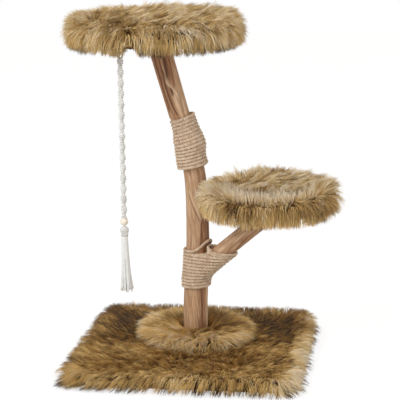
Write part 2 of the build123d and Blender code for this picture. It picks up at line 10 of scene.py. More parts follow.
import bpy
import numpy as np
from mathutils import Matrix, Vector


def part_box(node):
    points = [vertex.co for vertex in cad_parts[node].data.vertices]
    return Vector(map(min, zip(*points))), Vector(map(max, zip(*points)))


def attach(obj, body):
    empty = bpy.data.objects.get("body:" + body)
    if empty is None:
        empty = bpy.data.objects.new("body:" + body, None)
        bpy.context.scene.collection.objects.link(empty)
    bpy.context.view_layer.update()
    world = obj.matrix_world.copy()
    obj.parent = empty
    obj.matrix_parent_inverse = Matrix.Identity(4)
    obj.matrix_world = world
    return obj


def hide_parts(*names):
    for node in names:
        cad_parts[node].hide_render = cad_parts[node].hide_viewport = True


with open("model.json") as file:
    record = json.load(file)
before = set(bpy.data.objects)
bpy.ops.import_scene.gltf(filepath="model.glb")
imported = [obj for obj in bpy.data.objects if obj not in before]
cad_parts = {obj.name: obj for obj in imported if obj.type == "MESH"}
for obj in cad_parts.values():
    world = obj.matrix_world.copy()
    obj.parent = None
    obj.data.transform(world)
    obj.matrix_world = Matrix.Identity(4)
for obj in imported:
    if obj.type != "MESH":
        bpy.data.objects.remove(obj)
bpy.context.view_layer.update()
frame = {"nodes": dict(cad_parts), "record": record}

mm = 0.001

# %% [markdown]
# ## The camera
# The picture was taken from far off with a long lens, a little to the right and from above, so
# the trunk stays nearly straight and both perches show their tops. A camera is three unit
# vectors, right, up and back, and a place. Building its matrix from three angles is clearer than
# turning it by hand.

# %% Camera
camera_place = np.array([0.4722, -2.93968, 1.02519])
camera_yaw, camera_pitch, camera_roll = np.radians([8.8207, 12.9742, -0.83534])
camera_lens = 133.58


def pose(right, up, back, place):
    """A matrix whose columns are three unit vectors and a place."""
    columns = np.eye(4)
    columns[:3] = np.column_stack([right, up, back, place])
    return Matrix(columns.tolist())


ahead = np.array([
    -np.sin(camera_yaw) * np.cos(camera_pitch),
    np.cos(camera_yaw) * np.cos(camera_pitch),
    -np.sin(camera_pitch),
])
level = np.array([np.cos(camera_yaw), np.sin(camera_yaw), 0.0])
above = np.cross(level, ahead)
right = level * np.cos(camera_roll) + above * np.sin(camera_roll)
up = above * np.cos(camera_roll) - level * np.sin(camera_roll)
camera = bpy.data.objects.new("camera", bpy.data.cameras.new("camera"))
camera.data.lens = camera_lens
camera.matrix_world = pose(right, up, -ahead, camera_place)
bpy.context.scene.collection.objects.link(camera)
bpy.context.scene.camera = camera
print("camera at", camera_place.tolist())

# %% [markdown]
# ## Tools for meshes
# Every new piece is a surface over two parameters. Rows run along the piece and columns run round
# it, so one function can turn any such grid into a closed mesh: it joins the last column to the
# first, and closes the ends with a cap or joins the last row to the first. All numbers go over
# as whole arrays.

# %% Tools for meshes
def box_mm(node):
    """Lowest and highest corner of a solid, in millimetres."""
    low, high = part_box(node)
    return np.array(low) / mm, np.array(high) / mm


def unit(vectors):
    """Each row divided by its own length."""
    return vectors / np.maximum(np.linalg.norm(vectors, axis=-1, keepdims=True), 1e-9)


def put_mesh(name, points, corners, sides, uv, material, body, slot, smooth=True):
    """Faces from one long row of corners, sides of them to each face, with a texture place a corner."""
    mesh = bpy.data.meshes.new(name)
    mesh.vertices.add(len(points))
    mesh.vertices.foreach_set("co", (points * mm).astype(np.float32).ravel())
    mesh.loops.add(len(corners))
    mesh.polygons.add(len(sides))
    mesh.polygons.foreach_set("loop_start", (np.cumsum(sides) - sides).astype(np.int32))
    mesh.loops.foreach_set("vertex_index", corners.astype(np.int32))
    mesh.polygons.foreach_set("use_smooth", np.full(len(sides), smooth))
    mesh.uv_layers.new(name="OFBake").data.foreach_set("uv", uv.astype(np.float32).ravel())
    mesh.update(calc_edges=True)
    mesh.materials.append(material)
    made = bpy.data.objects.new(name, mesh)
    bpy.context.scene.collection.objects.link(made)
    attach(made, body)
    return made


# %% Grids
def around(count, shift=0):
    """Even steps of one turn, as angles."""
    return 2 * np.pi * (np.arange(count) + shift) / count


def rings(turn, out, across):
    """A ring of unit vectors for each row of out and across: cos turn * out + sin turn * across."""
    return np.cos(turn)[None, :, None] * out[:, None] + np.sin(turn)[None, :, None] * across[:, None]


def grid_faces(rows, columns, ring):
    """Quads of a grid whose columns go round, and caps on its two ends unless the rows are a ring too."""
    spans = rows - 1 + ring
    row, column = np.meshgrid(np.arange(spans), np.arange(columns), indexing="ij")
    corners, uv = [], []
    for up, right in ((0, 0), (0, 1), (1, 1), (1, 0)):
        corners.append((row + up) % rows * columns + (column + right) % columns)
        uv.append(np.stack([column / columns + right / columns, row / spans + up / spans], -1))
    corners, uv = np.stack(corners, -1).ravel(), np.stack(uv, 2).reshape(-1, 2)
    sides = np.full(row.size, 4)
    if not ring:
        turn = around(columns)
        cap = 0.5 + 0.01 * np.stack([np.cos(turn), np.sin(turn)], -1)
        first, last = np.arange(columns), (rows - 1) * columns + np.arange(columns)
        corners = np.concatenate([corners, first[::-1], last])
        sides = np.concatenate([sides, [columns, columns]])
        uv = np.concatenate([uv, cap[::-1], cap])
    return corners, sides, uv


def grid_pieces(name, grids, material, body, slot, ring=False):
    """One mesh of several grids, each an array of rows, columns and three places."""
    points, corners, sides, uv, count = [], [], [], [], 0
    for grid in grids:
        rows, columns = grid.shape[:2]
        grid_corners, grid_sides, grid_uv = grid_faces(rows, columns, ring)
        points.append(grid.reshape(-1, 3))
        corners.append(grid_corners + count)
        sides.append(grid_sides)
        uv.append(grid_uv)
        count += rows * columns
    joined = [np.concatenate(part) for part in (points, corners, sides, uv)]
    return put_mesh(name, *joined, material, body, slot)


# %% Tubes
def square_to(path, outward):
    """Two unit vectors square to a path: outward less its part along the path, and across both."""
    heading = unit(np.gradient(path, axis=0))
    out = unit(outward - heading * (outward * heading).sum(-1, keepdims=True))
    return out, np.cross(heading, out)


def tube(path, radius, sides, outward):
    """A round section carried along a path: path + radius * ring."""
    radius = np.broadcast_to(radius, len(path))[:, None, None]
    return path[:, None] + radius * rings(around(sides), *square_to(path, outward))


print("mesh tools ready")

# %% [markdown]
# ## Tools for materials
# Colours are written as the hex values that a paint program shows and turned to linear light by
# one function. A material is a small tree of nodes, so one function adds a node, sets it and
# links it. Many finishes share a mottled colour, and a colour with its relief, so those two are
# written once.

# %% Tools for materials
def linear(colour):
    """A hex colour as linear red, green, blue and alpha."""
    share = np.array([int(colour[k:k + 2], 16) for k in (1, 3, 5)]) / 255
    light = np.where(share <= 0.04045, share / 12.92, ((share + 0.055) / 1.055) ** 2.4)
    return (*light.tolist(), 1.0)


def add(tree, kind, inputs=None, stops=(), **settings):
    """Add a node: settings are its own, inputs are numbers or links by socket, stops colour a ramp."""
    made = tree.nodes.new("ShaderNode" + kind)
    for name, value in settings.items():
        setattr(made, name, value)
    for name, value in (inputs or {}).items():
        if isinstance(value, bpy.types.NodeSocket):
            tree.links.new(value, made.inputs[name])
        else:
            made.inputs[name].default_value = value
    for index, (place, colour) in enumerate(stops):
        if index > 1:
            made.color_ramp.elements.new(place)
        made.color_ramp.elements[index].position = place
        made.color_ramp.elements[index].color = linear(colour)
    return made


def finish(name, roughness, **constants):
    """A new material with a Principled shader, whose constant inputs are set by name."""
    material = bpy.data.materials.new(name)
    material.use_nodes = True
    shader = material.node_tree.nodes["Principled BSDF"]
    shader.inputs["Roughness"].default_value = roughness
    for socket, value in constants.items():
        shader.inputs[socket.replace("_", " ")].default_value = value
    return material, material.node_tree, shader


# %% Mottled colour and relief
def mottled(tree, scale, detail, stops, distortion=0.0, stretch=(1, 1, 1)):
    """Noise on the object's own coordinates, scale times a metre: its height, and its colour by stops."""
    place = add(tree, "TexCoord")
    drawn = add(tree, "Mapping", {"Vector": place.outputs["Object"], "Scale": stretch})
    noise = add(tree, "TexNoise", {
        "Vector": drawn.outputs["Vector"], "Scale": scale, "Detail": detail, "Distortion": distortion,
    })
    height = noise.outputs["Fac"]
    return height, add(tree, "ValToRGB", {"Fac": height}, stops).outputs["Color"]


def dress(tree, shader, colour, height=None, strength=0.0, depth_mm=0.0):
    """Link a colour to the shader, and a height as relief of a depth in millimetres."""
    tree.links.new(colour, shader.inputs["Base Color"])
    if height is not None:
        rise = add(tree, "Bump", {"Strength": strength, "Distance": depth_mm * mm, "Height": height})
        tree.links.new(rise.outputs["Normal"], shader.inputs["Normal"])


print("material tools ready")

# %% [markdown]
# ## Cotton for the toy
# The toy is knotted from undyed cotton cord, spun of soft plies: matt, warm white, with fine
# slanting plies whose grooves get a little painted shade. The plies follow the cord, so the pattern
# reads the cord's own map, where the first number goes round the cord and the second along it.

# %% Undyed cotton
def spun_cotton(name, dark, light, depth):
    """Matt cotton in two close tones, with painted shade of a given depth between slanting plies."""
    material, tree, shader = finish(name, 0.9, Sheen_Weight=0.25)
    place = add(tree, "UVMap", uv_map="OFBake")
    slant = {"Vector": place.outputs["UV"], "Rotation": (0, 0, 0.7), "Scale": (3, 60, 1)}
    plies = add(tree, "Mapping", slant)
    wave = {"Vector": plies.outputs["Vector"], "Scale": 1.0, "Distortion": 0.6}
    ply = add(tree, "TexWave", wave, bands_direction="Y").outputs["Fac"]
    tint = mottled(tree, 90.0, 3.0, [(0.3, dark), (0.7, light)])[1]
    # Painted shade: the colour is darkened in the grooves between the plies.
    shade = add(tree, "ValToRGB", {"Fac": ply}, [(0.0, "#CFCBC2"), (0.55, "#FFFFFF")])
    parts = {0: depth, 6: tint, 7: shade.outputs["Color"]}
    both = add(tree, "Mix", parts, data_type="RGBA", blend_type="MULTIPLY")
    dress(tree, shader, both.outputs[2], ply, 0.4, 0.3)
    return material


cotton = spun_cotton("undyed spun cotton", "#D9D8D4", "#EFEEEB", 0.45)
# The tassel's cotton is the cord's own, with lighter colours and less ply shade: painted light on the thin
# ends, which shade each other.
tassel_cotton_painted_light = spun_cotton("undyed cotton with painted light", "#EDECE9", "#F8F8F6", 0.2)
print("cotton ready")

# %% [markdown]
# ## The hanging cord
# The cord is a sinnet of half knots: two working cords tied again and again round four core cords,
# always the same way, so the flat row of knots turns slowly into a spiral. It hangs straight under
# its own weight, so its route is a few points on a smooth line, and all the strands follow points
# read from that line. The working cords go round an oval body whose long side turns once in 43 mm,
# which gives the row of bulges that the eye sees.

# %% The cord's route
def run_along(line):
    """Distance of each point of a line from its start, along the line."""
    return np.concatenate([[0], np.cumsum(np.linalg.norm(np.diff(line, axis=0), axis=1))])


def read_line(at, run, line):
    """A line's points at distances along it."""
    return np.stack([np.interp(at, run, column) for column in line.T], -1)


cord_low, cord_high = box_mm("toy_cord")
toy_x, toy_y = (cord_low + cord_high)[:2] / 2
bead_low, bead_high = box_mm("toy_bead")
loop_r, loop_cord_r = 5.0, 2.0
cord_top = cord_high[2] - 2 * (loop_r + loop_cord_r) + loop_cord_r
knot_low, knot_high = box_mm("toy_knot")
cord_end = knot_low[2]
route_step = 84
route_heights = (cord_top, cord_top - route_step, (cord_top + cord_end) / 2, cord_end + route_step, cord_end)
cord_route = np.array([[toy_x, toy_y, height] for height in route_heights])
curve = bpy.data.curves.new("toy_route", "CURVE")
curve.dimensions = "3D"
spline = curve.splines.new("NURBS")
spline.points.add(len(cord_route) - 1)
spline.points.foreach_set("co", np.column_stack([cord_route * mm, np.ones(len(cord_route))]).ravel())
spline.order_u = 3
spline.use_endpoint_u = True
route_object = bpy.data.objects.new("toy_route", curve)
line = bpy.data.meshes.new_from_object(route_object)
cord_line = np.zeros(len(line.vertices) * 3)
line.vertices.foreach_get("co", cord_line)
cord_line = cord_line.reshape(-1, 3) / mm
bpy.data.objects.remove(route_object)
cord_run = run_along(cord_line)


def on_cord(along):
    """The cord's line at distances along it."""
    return read_line(along, cord_run, cord_line)


# %% The knotted cord
def level_way(angle):
    """The level unit vector at each angle."""
    return np.stack([np.cos(angle), np.sin(angle), 0 * angle], -1)


knot_step, rows_per_knot = 10.5, 18
spiral_turn, spiral_start = 43.2, -0.8
working_r, working_rise = 1.9, 1.2
oval_long, oval_short = 5.2, 1.7
body_long, body_short = 5.6, 2.6
sinnet_end = cord_top - bead_high[2]
along = np.linspace(0, sinnet_end, int(sinnet_end / knot_step * rows_per_knot))
tilt = 2 * np.pi * along / spiral_turn + spiral_start
strands = []
for start in (0, np.pi):
    turn = 2 * np.pi * along / knot_step + start
    long_way, short_way = oval_long * np.cos(turn), oval_short * np.sin(turn)
    out = np.stack([
        long_way * np.cos(tilt) - short_way * np.sin(tilt),
        long_way * np.sin(tilt) + short_way * np.cos(tilt),
        working_rise * np.sin(2 * turn),
    ], -1)
    strands.append(tube(on_cord(along) + out, working_r, 8, out))
side = -around(14)
long_way = level_way(tilt)[::3, None]
body = body_long * np.cos(side)[None, :, None] * long_way
body = body + body_short * np.sin(side)[None, :, None] * np.cross([0, 0, 1.0], long_way)
strands.append(on_cord(along[::3])[:, None] + body)
core_r, core_off, core_lay = 1.3, 1.65, 12.0
along = np.linspace(0, cord_top - bead_low[2] + 6, 350)
for start in np.arange(4) * np.pi / 2:
    out = level_way(start + 2 * np.pi * along / core_lay)
    strands.append(tube(on_cord(along) + core_off * out, core_r, 6, out))
print("sinnet of", len(strands), "strands")

# %% The loop at the cord's top
turn = np.linspace(0, 2 * np.pi, 48, endpoint=False)
loop_middle = np.array([toy_x, toy_y, cord_top + loop_r])
loop_out = np.stack([np.cos(turn), 0 * turn, np.sin(turn)], -1)
side = around(10)
lay = 0.25 * np.cos(2 * (side[None, :] + 5 * turn[:, None]))
loop_section = (loop_cord_r - 0.3 + lay)[:, :, None] * rings(side, loop_out, np.array([[0, 1.0, 0]]))
loop_grid = loop_middle + loop_r * loop_out[:, None] + loop_section
loop = grid_pieces("toy_loop", [loop_grid], cotton, "toy", "cotton", ring=True)
print("loop round the ring")

# %% [markdown]
# ## The tassel
# Under the bead the cords are folded over, so the head shows a row of upside-down U shapes, and
# then they hang as loose ends, cut nearly even. Each end is a thin tube whose middle drifts outward
# and to the right with the depth squared, as a light tassel does.

# %% Tassel head and ends
tassel_low, tassel_high = box_mm("toy_tassel")
fold_r, end_r, end_start = 2.1, 1.45, 1.5
rng = np.random.default_rng(11)
toy_axis = np.array([toy_x, toy_y, 0.0])
head_turn = np.linspace(0, np.pi, 26)
for index in range(6):
    flat = level_way(np.pi * index / 6 + 0.2)
    reach = 5.2 + 3.8 * np.sin(2 * head_turn) ** 2
    height = (knot_high[2] - knot_low[2] - 2.6 - 0.5 * index) * np.sin(head_turn) ** 0.7
    path = toy_axis + reach[:, None] * np.cos(head_turn)[:, None] * flat
    path[:, 2] = knot_low[2] + height
    strands.append(tube(path, fold_r, 8, np.cross(flat, [0, 0, 1.0]) + 0 * path))
knotted_cord = grid_pieces("toy_knotted_cord", strands, cotton, "toy", "cotton")
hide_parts("toy_cord", "toy_knot")

ends = []
depth = np.linspace(0, 1, 26)
for ring_r, ring_count in ((0.9, 3), (3.0, 8), (4.9, 20)):
    for index in range(ring_count):
        face = 2 * np.pi * (index + rng.uniform(-0.25, 0.25)) / ring_count
        long = (tassel_high[2] - tassel_low[2]) * rng.uniform(0.94, 1.0)
        flare = ring_r * (1.1 + rng.uniform(1.0, 1.4) * depth ** 1.6)
        path = toy_axis + flare[:, None] * level_way(face)
        path[:, 0] += 2.2 * depth ** 2 + 0.5 * np.sin(7 * depth + face) * depth
        path[:, 1] += 0.5 * np.sin(6 * depth + 2 * face) * depth
        path[:, 2] = tassel_high[2] + end_start - (long + end_start) * depth
        outward = np.array([np.sin(face), -np.cos(face), 0]) + 0 * path
        ends.append(tube(path, end_r - 0.1 * depth, 8, outward))
tassel = grid_pieces("toy_tassel_ends", ends, tassel_cotton_painted_light, "toy", "cotton")
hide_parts("toy_tassel")
print("tassel with", len(ends), "ends")

# %% [markdown]
# ## Driftwood
# The trunk and its limb are stripped branches: weathered, matt, pale pinkish tan where they were
# rubbed and dark red brown in the hollows. Long flutes run along the grain and turn slowly round
# the branch. A smooth tube with a bump map would lose the flutes in its outline, so the flutes are
# in the surface: the radius is the solid's own, less a groove depth that depends on the turn and
# the height. The depth also goes into an attribute, so the colour can darken with it.

# %% The trunk's own shape, as in the solid
plinth_low, plinth_high = box_mm("plinth_disc")
foot_x, foot_y = (plinth_low + plinth_high)[:2] / 2
foot_z = plinth_high[2]
seat_z = box_mm("top_flange")[0][2]
base_top = plinth_low[2]


def hill(x, middle, width):
    """A soft hill of height 1: exp(-((x - middle) / width)^2)."""
    return np.exp(-(((x - middle) / width) ** 2))


def ease(z, low, high):
    """0 below low, 1 above high, and a smooth step between."""
    return (1 - np.cos(np.pi * np.clip((z - low) / (high - low), 0, 1))) / 2


def trunk_x(z):
    """A step to the right below, then a steady lean to the left."""
    return foot_x + 6.8 * ease(z, 70, 262) - 0.285 * 25 * np.log1p(np.exp((z - 391) / 25))


def trunk_y(z):
    """Straight at the foot, then one wave to the back and to the front."""
    return foot_y + 4 * np.sin(2 * np.pi * (z - 70) / (seat_z - 70)) * ease(z, 70, 262)


def trunk_r(z):
    """Thins from the foot to the neck, widens to the seat, and swells at the bend."""
    burl = 5.5 * hill(z, 450, 22)
    return 25.7 - 3.4 * ease(z, foot_z, 480) + 1.4 * ease(z, 480, seat_z) + burl


print("trunk from", round(foot_z, 1), "to", round(seat_z, 1), "mm")

# %% Flutes, strokes and the wood's attributes
grain_r, grain_twist = 20, 300


def flutes(turn, along, seed):
    """Depth of the fine flutes, 0 to about 1: valleys where slow waves round the branch cross zero."""
    rng = np.random.default_rng(seed)
    depth = 0 * turn
    for count, share, narrow in ((3, 0.4, 0.25), (5, 0.35, 0.3), (9, 0.3, 0.4), (14, 0.2, 0.5)):
        drift = 0.9 * np.sin(along / rng.uniform(70, 130) + rng.uniform(0, 6)) + along / grain_twist
        cross = np.sin(count * turn + 0.5 * count * drift + rng.uniform(0, 6))
        fade = 0.5 + 0.5 * np.sin(along / rng.uniform(35, 80) + turn + rng.uniform(0, 6))
        depth = depth + share * fade * hill(cross, 0, narrow)
    return depth


def turned_from(angle, face):
    """How far an angle is turned from a face, between half a turn back and half a turn on."""
    return np.angle(np.exp(1j * (angle - face)))


def strokes(turn, along, reach, lines):
    """Soft lines on a branch, 0 to 1. Each runs from a height and an angle in degrees to another, half
    a width in mm wide: strength exp(-(gap / width)^2), and the same past its ends."""
    mark = 0 * turn
    for low, low_deg, high, high_deg, width, strength in lines:
        share = (along - low) / (high - low)
        face = np.radians(low_deg + (high_deg - low_deg) * np.clip(share, 0, 1))
        face = face + 0.05 * np.sin(along / 31 + low) + 0.02 * np.sin(along / 11 + high)
        gap = turned_from(turn, face) * reach
        past = np.maximum(np.abs(share - 0.5) - 0.5, 0) * (high - low)
        mark = np.maximum(mark, strength * np.exp(-((gap / width) ** 2) - (past / (3 * width)) ** 2))
    return mark


def wood_piece(name, axis, across, radius, turn, along, marks, replaced):
    """A branch: axis + radius (cos turn, sin turn) in the across frame, with its grain as attributes."""
    ring = np.cos(turn)[..., None] * across[0] + np.sin(turn)[..., None] * across[1]
    made = grid_pieces(name, [axis + radius[..., None] * ring], driftwood, "stand", "driftwood")
    spiral = turn + along / grain_twist
    grain = np.stack([grain_r * np.cos(spiral), grain_r * np.sin(spiral), along], -1)
    layer = made.data.attributes.new("grain", "FLOAT_VECTOR", "POINT")
    layer.data.foreach_set("vector", grain.astype(np.float32).ravel())
    for label, values in marks.items():
        layer = made.data.attributes.new(label, "FLOAT", "POINT")
        layer.data.foreach_set("value", values.astype(np.float32).ravel())
    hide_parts(replaced)
    return made


print("wood tools ready")

# %% Weathered driftwood
driftwood, tree, shader = finish("weathered driftwood", 0.72)
grain, groove, scar, dark = (
    add(tree, "Attribute", attribute_name=label).outputs["Vector" if label == "grain" else "Fac"]
    for label in ("grain", "groove", "scar", "dark")
)
fibre, patch = (
    add(tree, "TexNoise", {
        "Vector": add(tree, "Mapping", {"Vector": grain, "Scale": stretch}).outputs["Vector"],
        "Scale": 1.0, "Detail": detail, "Roughness": rough,
    }).outputs["Fac"]
    for stretch, detail, rough in (((0.5, 0.5, 0.022), 6.0, 0.65), ((0.07, 0.07, 0.014), 3.0, 0.5))
)
pale = add(tree, "ValToRGB", {"Fac": fibre}, [(0.3, "#8F6A48"), (0.5, "#BA9370"), (0.7, "#DBBB9A")])
red = add(tree, "ValToRGB", {"Fac": fibre}, [(0.3, "#6C442A"), (0.52, "#A0714F"), (0.72, "#C69872")])
# The dark attribute mixes in red brown: the wood's own bands, and on the trunk's top painted shadow of the
# top perch.
band = add(tree, "Math", {0: dark, 1: patch}, operation="ADD")
band = add(tree, "MapRange", {"Value": band.outputs[0], "From Min": 0.8, "From Max": 1.2})
tones = {0: band.outputs[0], 6: pale.outputs["Color"], 7: red.outputs["Color"]}
first = add(tree, "Mix", tones, data_type="RGBA")
hollow = add(tree, "MapRange", {"Value": groove, "From Min": 0.1, "From Max": 0.9, "To Max": 0.88})
second = add(tree, "Mix", {0: hollow.outputs[0], 6: first.outputs[2], 7: linear("#4F2E1B")}, data_type="RGBA")
third = add(tree, "Mix", {0: scar, 6: second.outputs[2], 7: linear("#E3C4A0")}, data_type="RGBA")
dress(tree, shader, third.outputs[2], fibre, 0.5, 0.6)
print("driftwood ready")

# %% The trunk
lash_low, lash_high = 401.0, 506.0
tenon_r, trunk_reach = 22.0, 23
trunk_grooves = (
    (588, -85, 645, -58, 4.2, 1.0), (515, -90, 534, -100, 1.7, 0.9), (534, -100, 566, -108, 1.8, 1.0),
    (566, -108, 600, -101, 2.0, 1.0), (600, -101, 645, -90, 1.6, 0.8), (525, -136, 645, -117, 2.4, 0.8),
    (520, -45, 560, -48, 1.4, 0.6), (575, -58, 645, -36, 1.8, 0.6), (288, -73, 340, -123, 1.0, 0.75),
    (236, -60, 398, -58, 3.0, 0.4), (240, -22, 380, -18, 3.0, 0.4), (345, -96, 398, -101, 2.0, 0.3),
    (236, -112, 280, -119, 2.0, 0.3), (60, -70, 142, -66, 2.5, 0.3), (50, -44, 142, -50, 3.0, 0.5),
    (500, 40, 650, 60, 2.4, 0.8), (240, 100, 398, 120, 2.4, 0.6), (240, 48, 380, 62, 2.4, 0.6),
    (50, 70, 140, 80, 2.2, 0.6), (520, 150, 640, 162, 2.2, 0.7),
)
trunk_scars = (
    (557, -60, 577, -89, 4.0, 1.0), (533, -72, 549, -74, 4.6, 1.0), (512, -70, 528, -70, 3.0, 0.7),
    (585, -96, 625, -91, 2.0, 0.5), (518, -38, 536, -40, 3.0, 0.6), (62, -10, 142, -19, 3.0, 0.9),
    (300, -134, 365, -140, 2.0, 0.5), (293, -66, 345, -116, 2.4, 0.7), (585, 120, 597, 122, 7, 1.0),
)
trunk_pits = ((558, -77, 563, -78, 2.3, 1.0), (588, 121, 594, 121, 2.6, 1.0))
turn, height = np.meshgrid(
    around(160) + np.pi / 2,
    np.concatenate([[base_top, foot_z], np.linspace(foot_z, seat_z, 430)]),
)
grooves, pits, scars = (
    strokes(turn, height, trunk_reach, lines) for lines in (trunk_grooves, trunk_pits, trunk_scars)
)
scars = scars * (1 - pits)
fine = flutes(turn, height, 3)
hidden = ease(height, lash_low - 2, lash_low + 14) * ease(-height, -lash_high + 2, -lash_high + 16)
under_rope = 8
radius = trunk_r(height) - 1.0 * fine - 2.2 * grooves + 1.4 * scars - 2.6 * pits - under_rope * hidden
radius[:2] = tenon_r
# The dark bands are the wood's own red brown; the highest ones, under the top perch, also hold painted shadow
# of the perch.
dark_bands_and_perch_shadow = (
    (0, -48, 22, 0.75), (150, -46, 24, 0.8), (230, -32, 42, 1.0), (290, -32, 36, 0.9), (340, -28, 28, 0.7),
    (390, -25, 20, 0.5), (500, -110, 45, 0.7), (560, -108, 50, 0.9), (640, -95, 75, 1.1),
)
band_z, *band = np.array(dark_bands_and_perch_shadow, float).T
dark_face, dark_wide, dark_level = (np.interp(height, band_z, column) for column in band)
gap = np.degrees(turned_from(turn, np.radians(dark_face)))
dark = dark_level * np.exp(-((gap / dark_wide) ** 4)) + 0.7 * np.exp(-(((np.abs(gap) - 150) / 30) ** 4))
hollows = np.maximum(0.35 * fine, np.maximum(grooves, pits))
marks = {"groove": np.clip(hollows, 0, 1), "scar": 0.8 * scars, "dark": dark}
axis = np.stack([trunk_x(height), trunk_y(height), height], -1)
trunk = wood_piece("driftwood_trunk", axis, np.eye(3)[:2], radius, turn, height, marks, "trunk")
print("trunk", len(trunk.data.polygons), "faces")

# %% The side limb's place
fork_z, limb_start, limb_reach = 171.0, 8, 18
limb_root = np.array([trunk_x(fork_z), trunk_y(fork_z), fork_z])
flange_low, flange_high = box_mm("side_flange")
limb_seat = np.array([*(flange_low + flange_high)[:2] / 2, flange_low[2]])
limb_length = np.linalg.norm(limb_seat - limb_root)
limb_dir = (limb_seat - limb_root) / limb_length
limb_run = np.hypot(limb_dir[0], limb_dir[1])
limb_plan = np.array([limb_dir[0], limb_dir[1], 0]) / limb_run
limb_side = np.array([-limb_plan[1], limb_plan[0], 0])
limb_up = np.cross(limb_dir, limb_side)


def limb_r(along):
    """A flared root, then straight."""
    return limb_reach + 2 * hill(along, 0, 60)


print("limb", round(limb_length, 1), "mm long")

# %% The side limb
limb_grooves = (
    (95, 150, 150, 155, 1.6, 0.5), (165, 158, 240, 160, 1.6, 0.5), (110, 205, 165, 202, 1.3, 0.4),
    (180, 200, 235, 195, 1.3, 0.4), (100, 250, 200, 262, 1.8, 0.5), (90, 30, 220, 20, 2.0, 0.6),
    (95, 102, 235, 94, 2.2, 0.7), (150, 178, 190, 181, 1.1, 0.35),
)
limb_scars = (
    (92, 172, 98, 172, 3.0, 0.8), (140, 190, 160, 186, 3.0, 0.7), (120, 225, 135, 222, 3.0, 0.7),
    (170, 165, 200, 168, 2.4, 0.7), (205, 210, 225, 207, 2.4, 0.6), (118, 140, 132, 142, 2.0, 0.6),
)
turn, share = np.meshgrid(around(120), np.linspace(0, 1, 200))
ring = np.cos(turn)[..., None] * limb_side + np.sin(turn)[..., None] * limb_up


def limb_surface(turn, along):
    """The radius with its relief, and the grooves, scars and fine flutes it is made of."""
    grooves, scars = (strokes(turn, along, limb_reach, lines) for lines in (limb_grooves, limb_scars))
    fine = flutes(turn + 1.0, along + 500, 8)
    radius = limb_r(along) - 1.1 * fine - 1.8 * grooves + 1.0 * scars
    return radius, grooves, scars, fine


mitre_z = limb_seat[2] - 0.2
mitre = limb_length + 0 * turn[0]
for _ in range(12):
    mitre = (mitre_z - limb_root[2] - limb_surface(turn[0], mitre)[0] * ring[0, :, 2]) / limb_dir[2]
along = limb_start + share * (mitre - limb_start)
radius, grooves, scars, fine = limb_surface(turn, along)
dark = sum(
    level * np.exp(-((turned_from(turn, face) / wide) ** 4))
    for level, face, wide in ((0.75, 1.75, 0.5), (0.5, 3.9, 0.35))
)
marks = {"groove": np.clip(np.maximum(0.4 * fine, grooves), 0, 1), "scar": 0.75 * scars, "dark": dark}
axis = limb_root + along[..., None] * limb_dir
limb_frame = (limb_side, limb_up)
limb = wood_piece("driftwood_limb", axis, limb_frame, radius, turn, along, marks, "side_branch")
print("limb", len(limb.data.polygons), "faces")

# %% [markdown]
# ## Jute rope
# Both lashings are three-strand jute, 6 mm thick: beige, hairy and matt, with the strands' lay
# showing as slanting marks. One rope is wound round the bend and one round the fork, where it takes
# in trunk and limb together. The rope's middle is the solid's own winding, and three strands turn
# about it once in 21 mm.

# %% Natural jute
jute, tree, shader = finish("twisted natural jute", 0.88, Sheen_Weight=0.15)
place = add(tree, "UVMap", uv_map="OFBake")
drawn = {"Vector": place.outputs["UV"], "Rotation": (0, 0, 0.002), "Scale": (9, 900, 1)}
fibres = add(tree, "Mapping", drawn)
fibre = add(tree, "TexNoise", {"Vector": fibres.outputs["Vector"], "Scale": 1.0, "Detail": 3.0})
place = add(tree, "TexCoord")
patch = add(tree, "TexNoise", {"Vector": place.outputs["Object"], "Scale": 120.0, "Detail": 4.0})
mixed = add(tree, "Math", {0: fibre.outputs["Fac"], 1: patch.outputs["Fac"]}, operation="ADD")
half = add(tree, "Math", {0: mixed.outputs[0], 1: 0.5}, operation="MULTIPLY")
jute_tones = [(0.34, "#AF9074"), (0.5, "#D6BC9F"), (0.66, "#E9D6BF")]
tint = add(tree, "ValToRGB", {"Fac": half.outputs[0]}, jute_tones)
dress(tree, shader, tint.outputs["Color"], fibre.outputs["Fac"], 0.6, 0.3)
print("jute ready")

# %% The rope's turns, as in the solid
rope_r, rope_gap, rope_pitch = 3.0, 0.3, 7.0
rope_out = rope_r + rope_gap
upper_low, upper_turns = lash_low, 15
lower_low, lower_turns, crotch_turns, crotch_rise = 142.0, 11, 1, 20.0
crotch_z = lower_low + rope_pitch * lower_turns
lash_blend = 5.0


def slope(of_height, z):
    """Slope of a function of height."""
    return (of_height(z + 0.01) - of_height(z - 0.01)) / 0.02


def bark(angle, z):
    """The trunk's surface at an angle and a height."""
    return trunk_x(z) + trunk_r(z) * np.cos(angle), trunk_y(z) + trunk_r(z) * np.sin(angle)


def upper_turn(angle, level):
    """Turns square to the trunk's axis, resting on its surface."""
    z = level
    lean_x, lean_y = slope(trunk_x, level), slope(trunk_y, level)
    for _ in range(4):
        x, y = bark(angle, z)
        z = level - lean_x * (x - trunk_x(level)) - lean_y * (y - trunk_y(level))
    rise = -slope(trunk_r, z) - slope(trunk_x, z) * np.cos(angle) - slope(trunk_y, z) * np.sin(angle)
    out = unit(np.stack([np.cos(angle), np.sin(angle), rise], -1))
    return np.stack([*bark(angle, z), z], -1) + out * rope_out


# %% Turns round trunk and limb
limb_bearing = np.arctan2(limb_plan[1], limb_plan[0])


def lower_reach(angle, level):
    """Distance from the trunk's axis to a turn's tangent line, round trunk and limb together."""
    round_trunk = trunk_r(level) + rope_out
    along = 0.0
    for _ in range(12):
        limb_out = limb_r(along) + rope_out
        along = (level - limb_root[2] + limb_out * limb_run) / limb_dir[2]
    nose = along * limb_run + limb_out * limb_dir[2]
    offset = np.maximum(nose - limb_out, 0)
    round_limb = nose - offset + offset * np.cos(angle - limb_bearing)
    both = lash_blend * np.logaddexp(round_trunk / lash_blend, round_limb / lash_blend)
    return np.where(level > crotch_z, round_trunk, both)


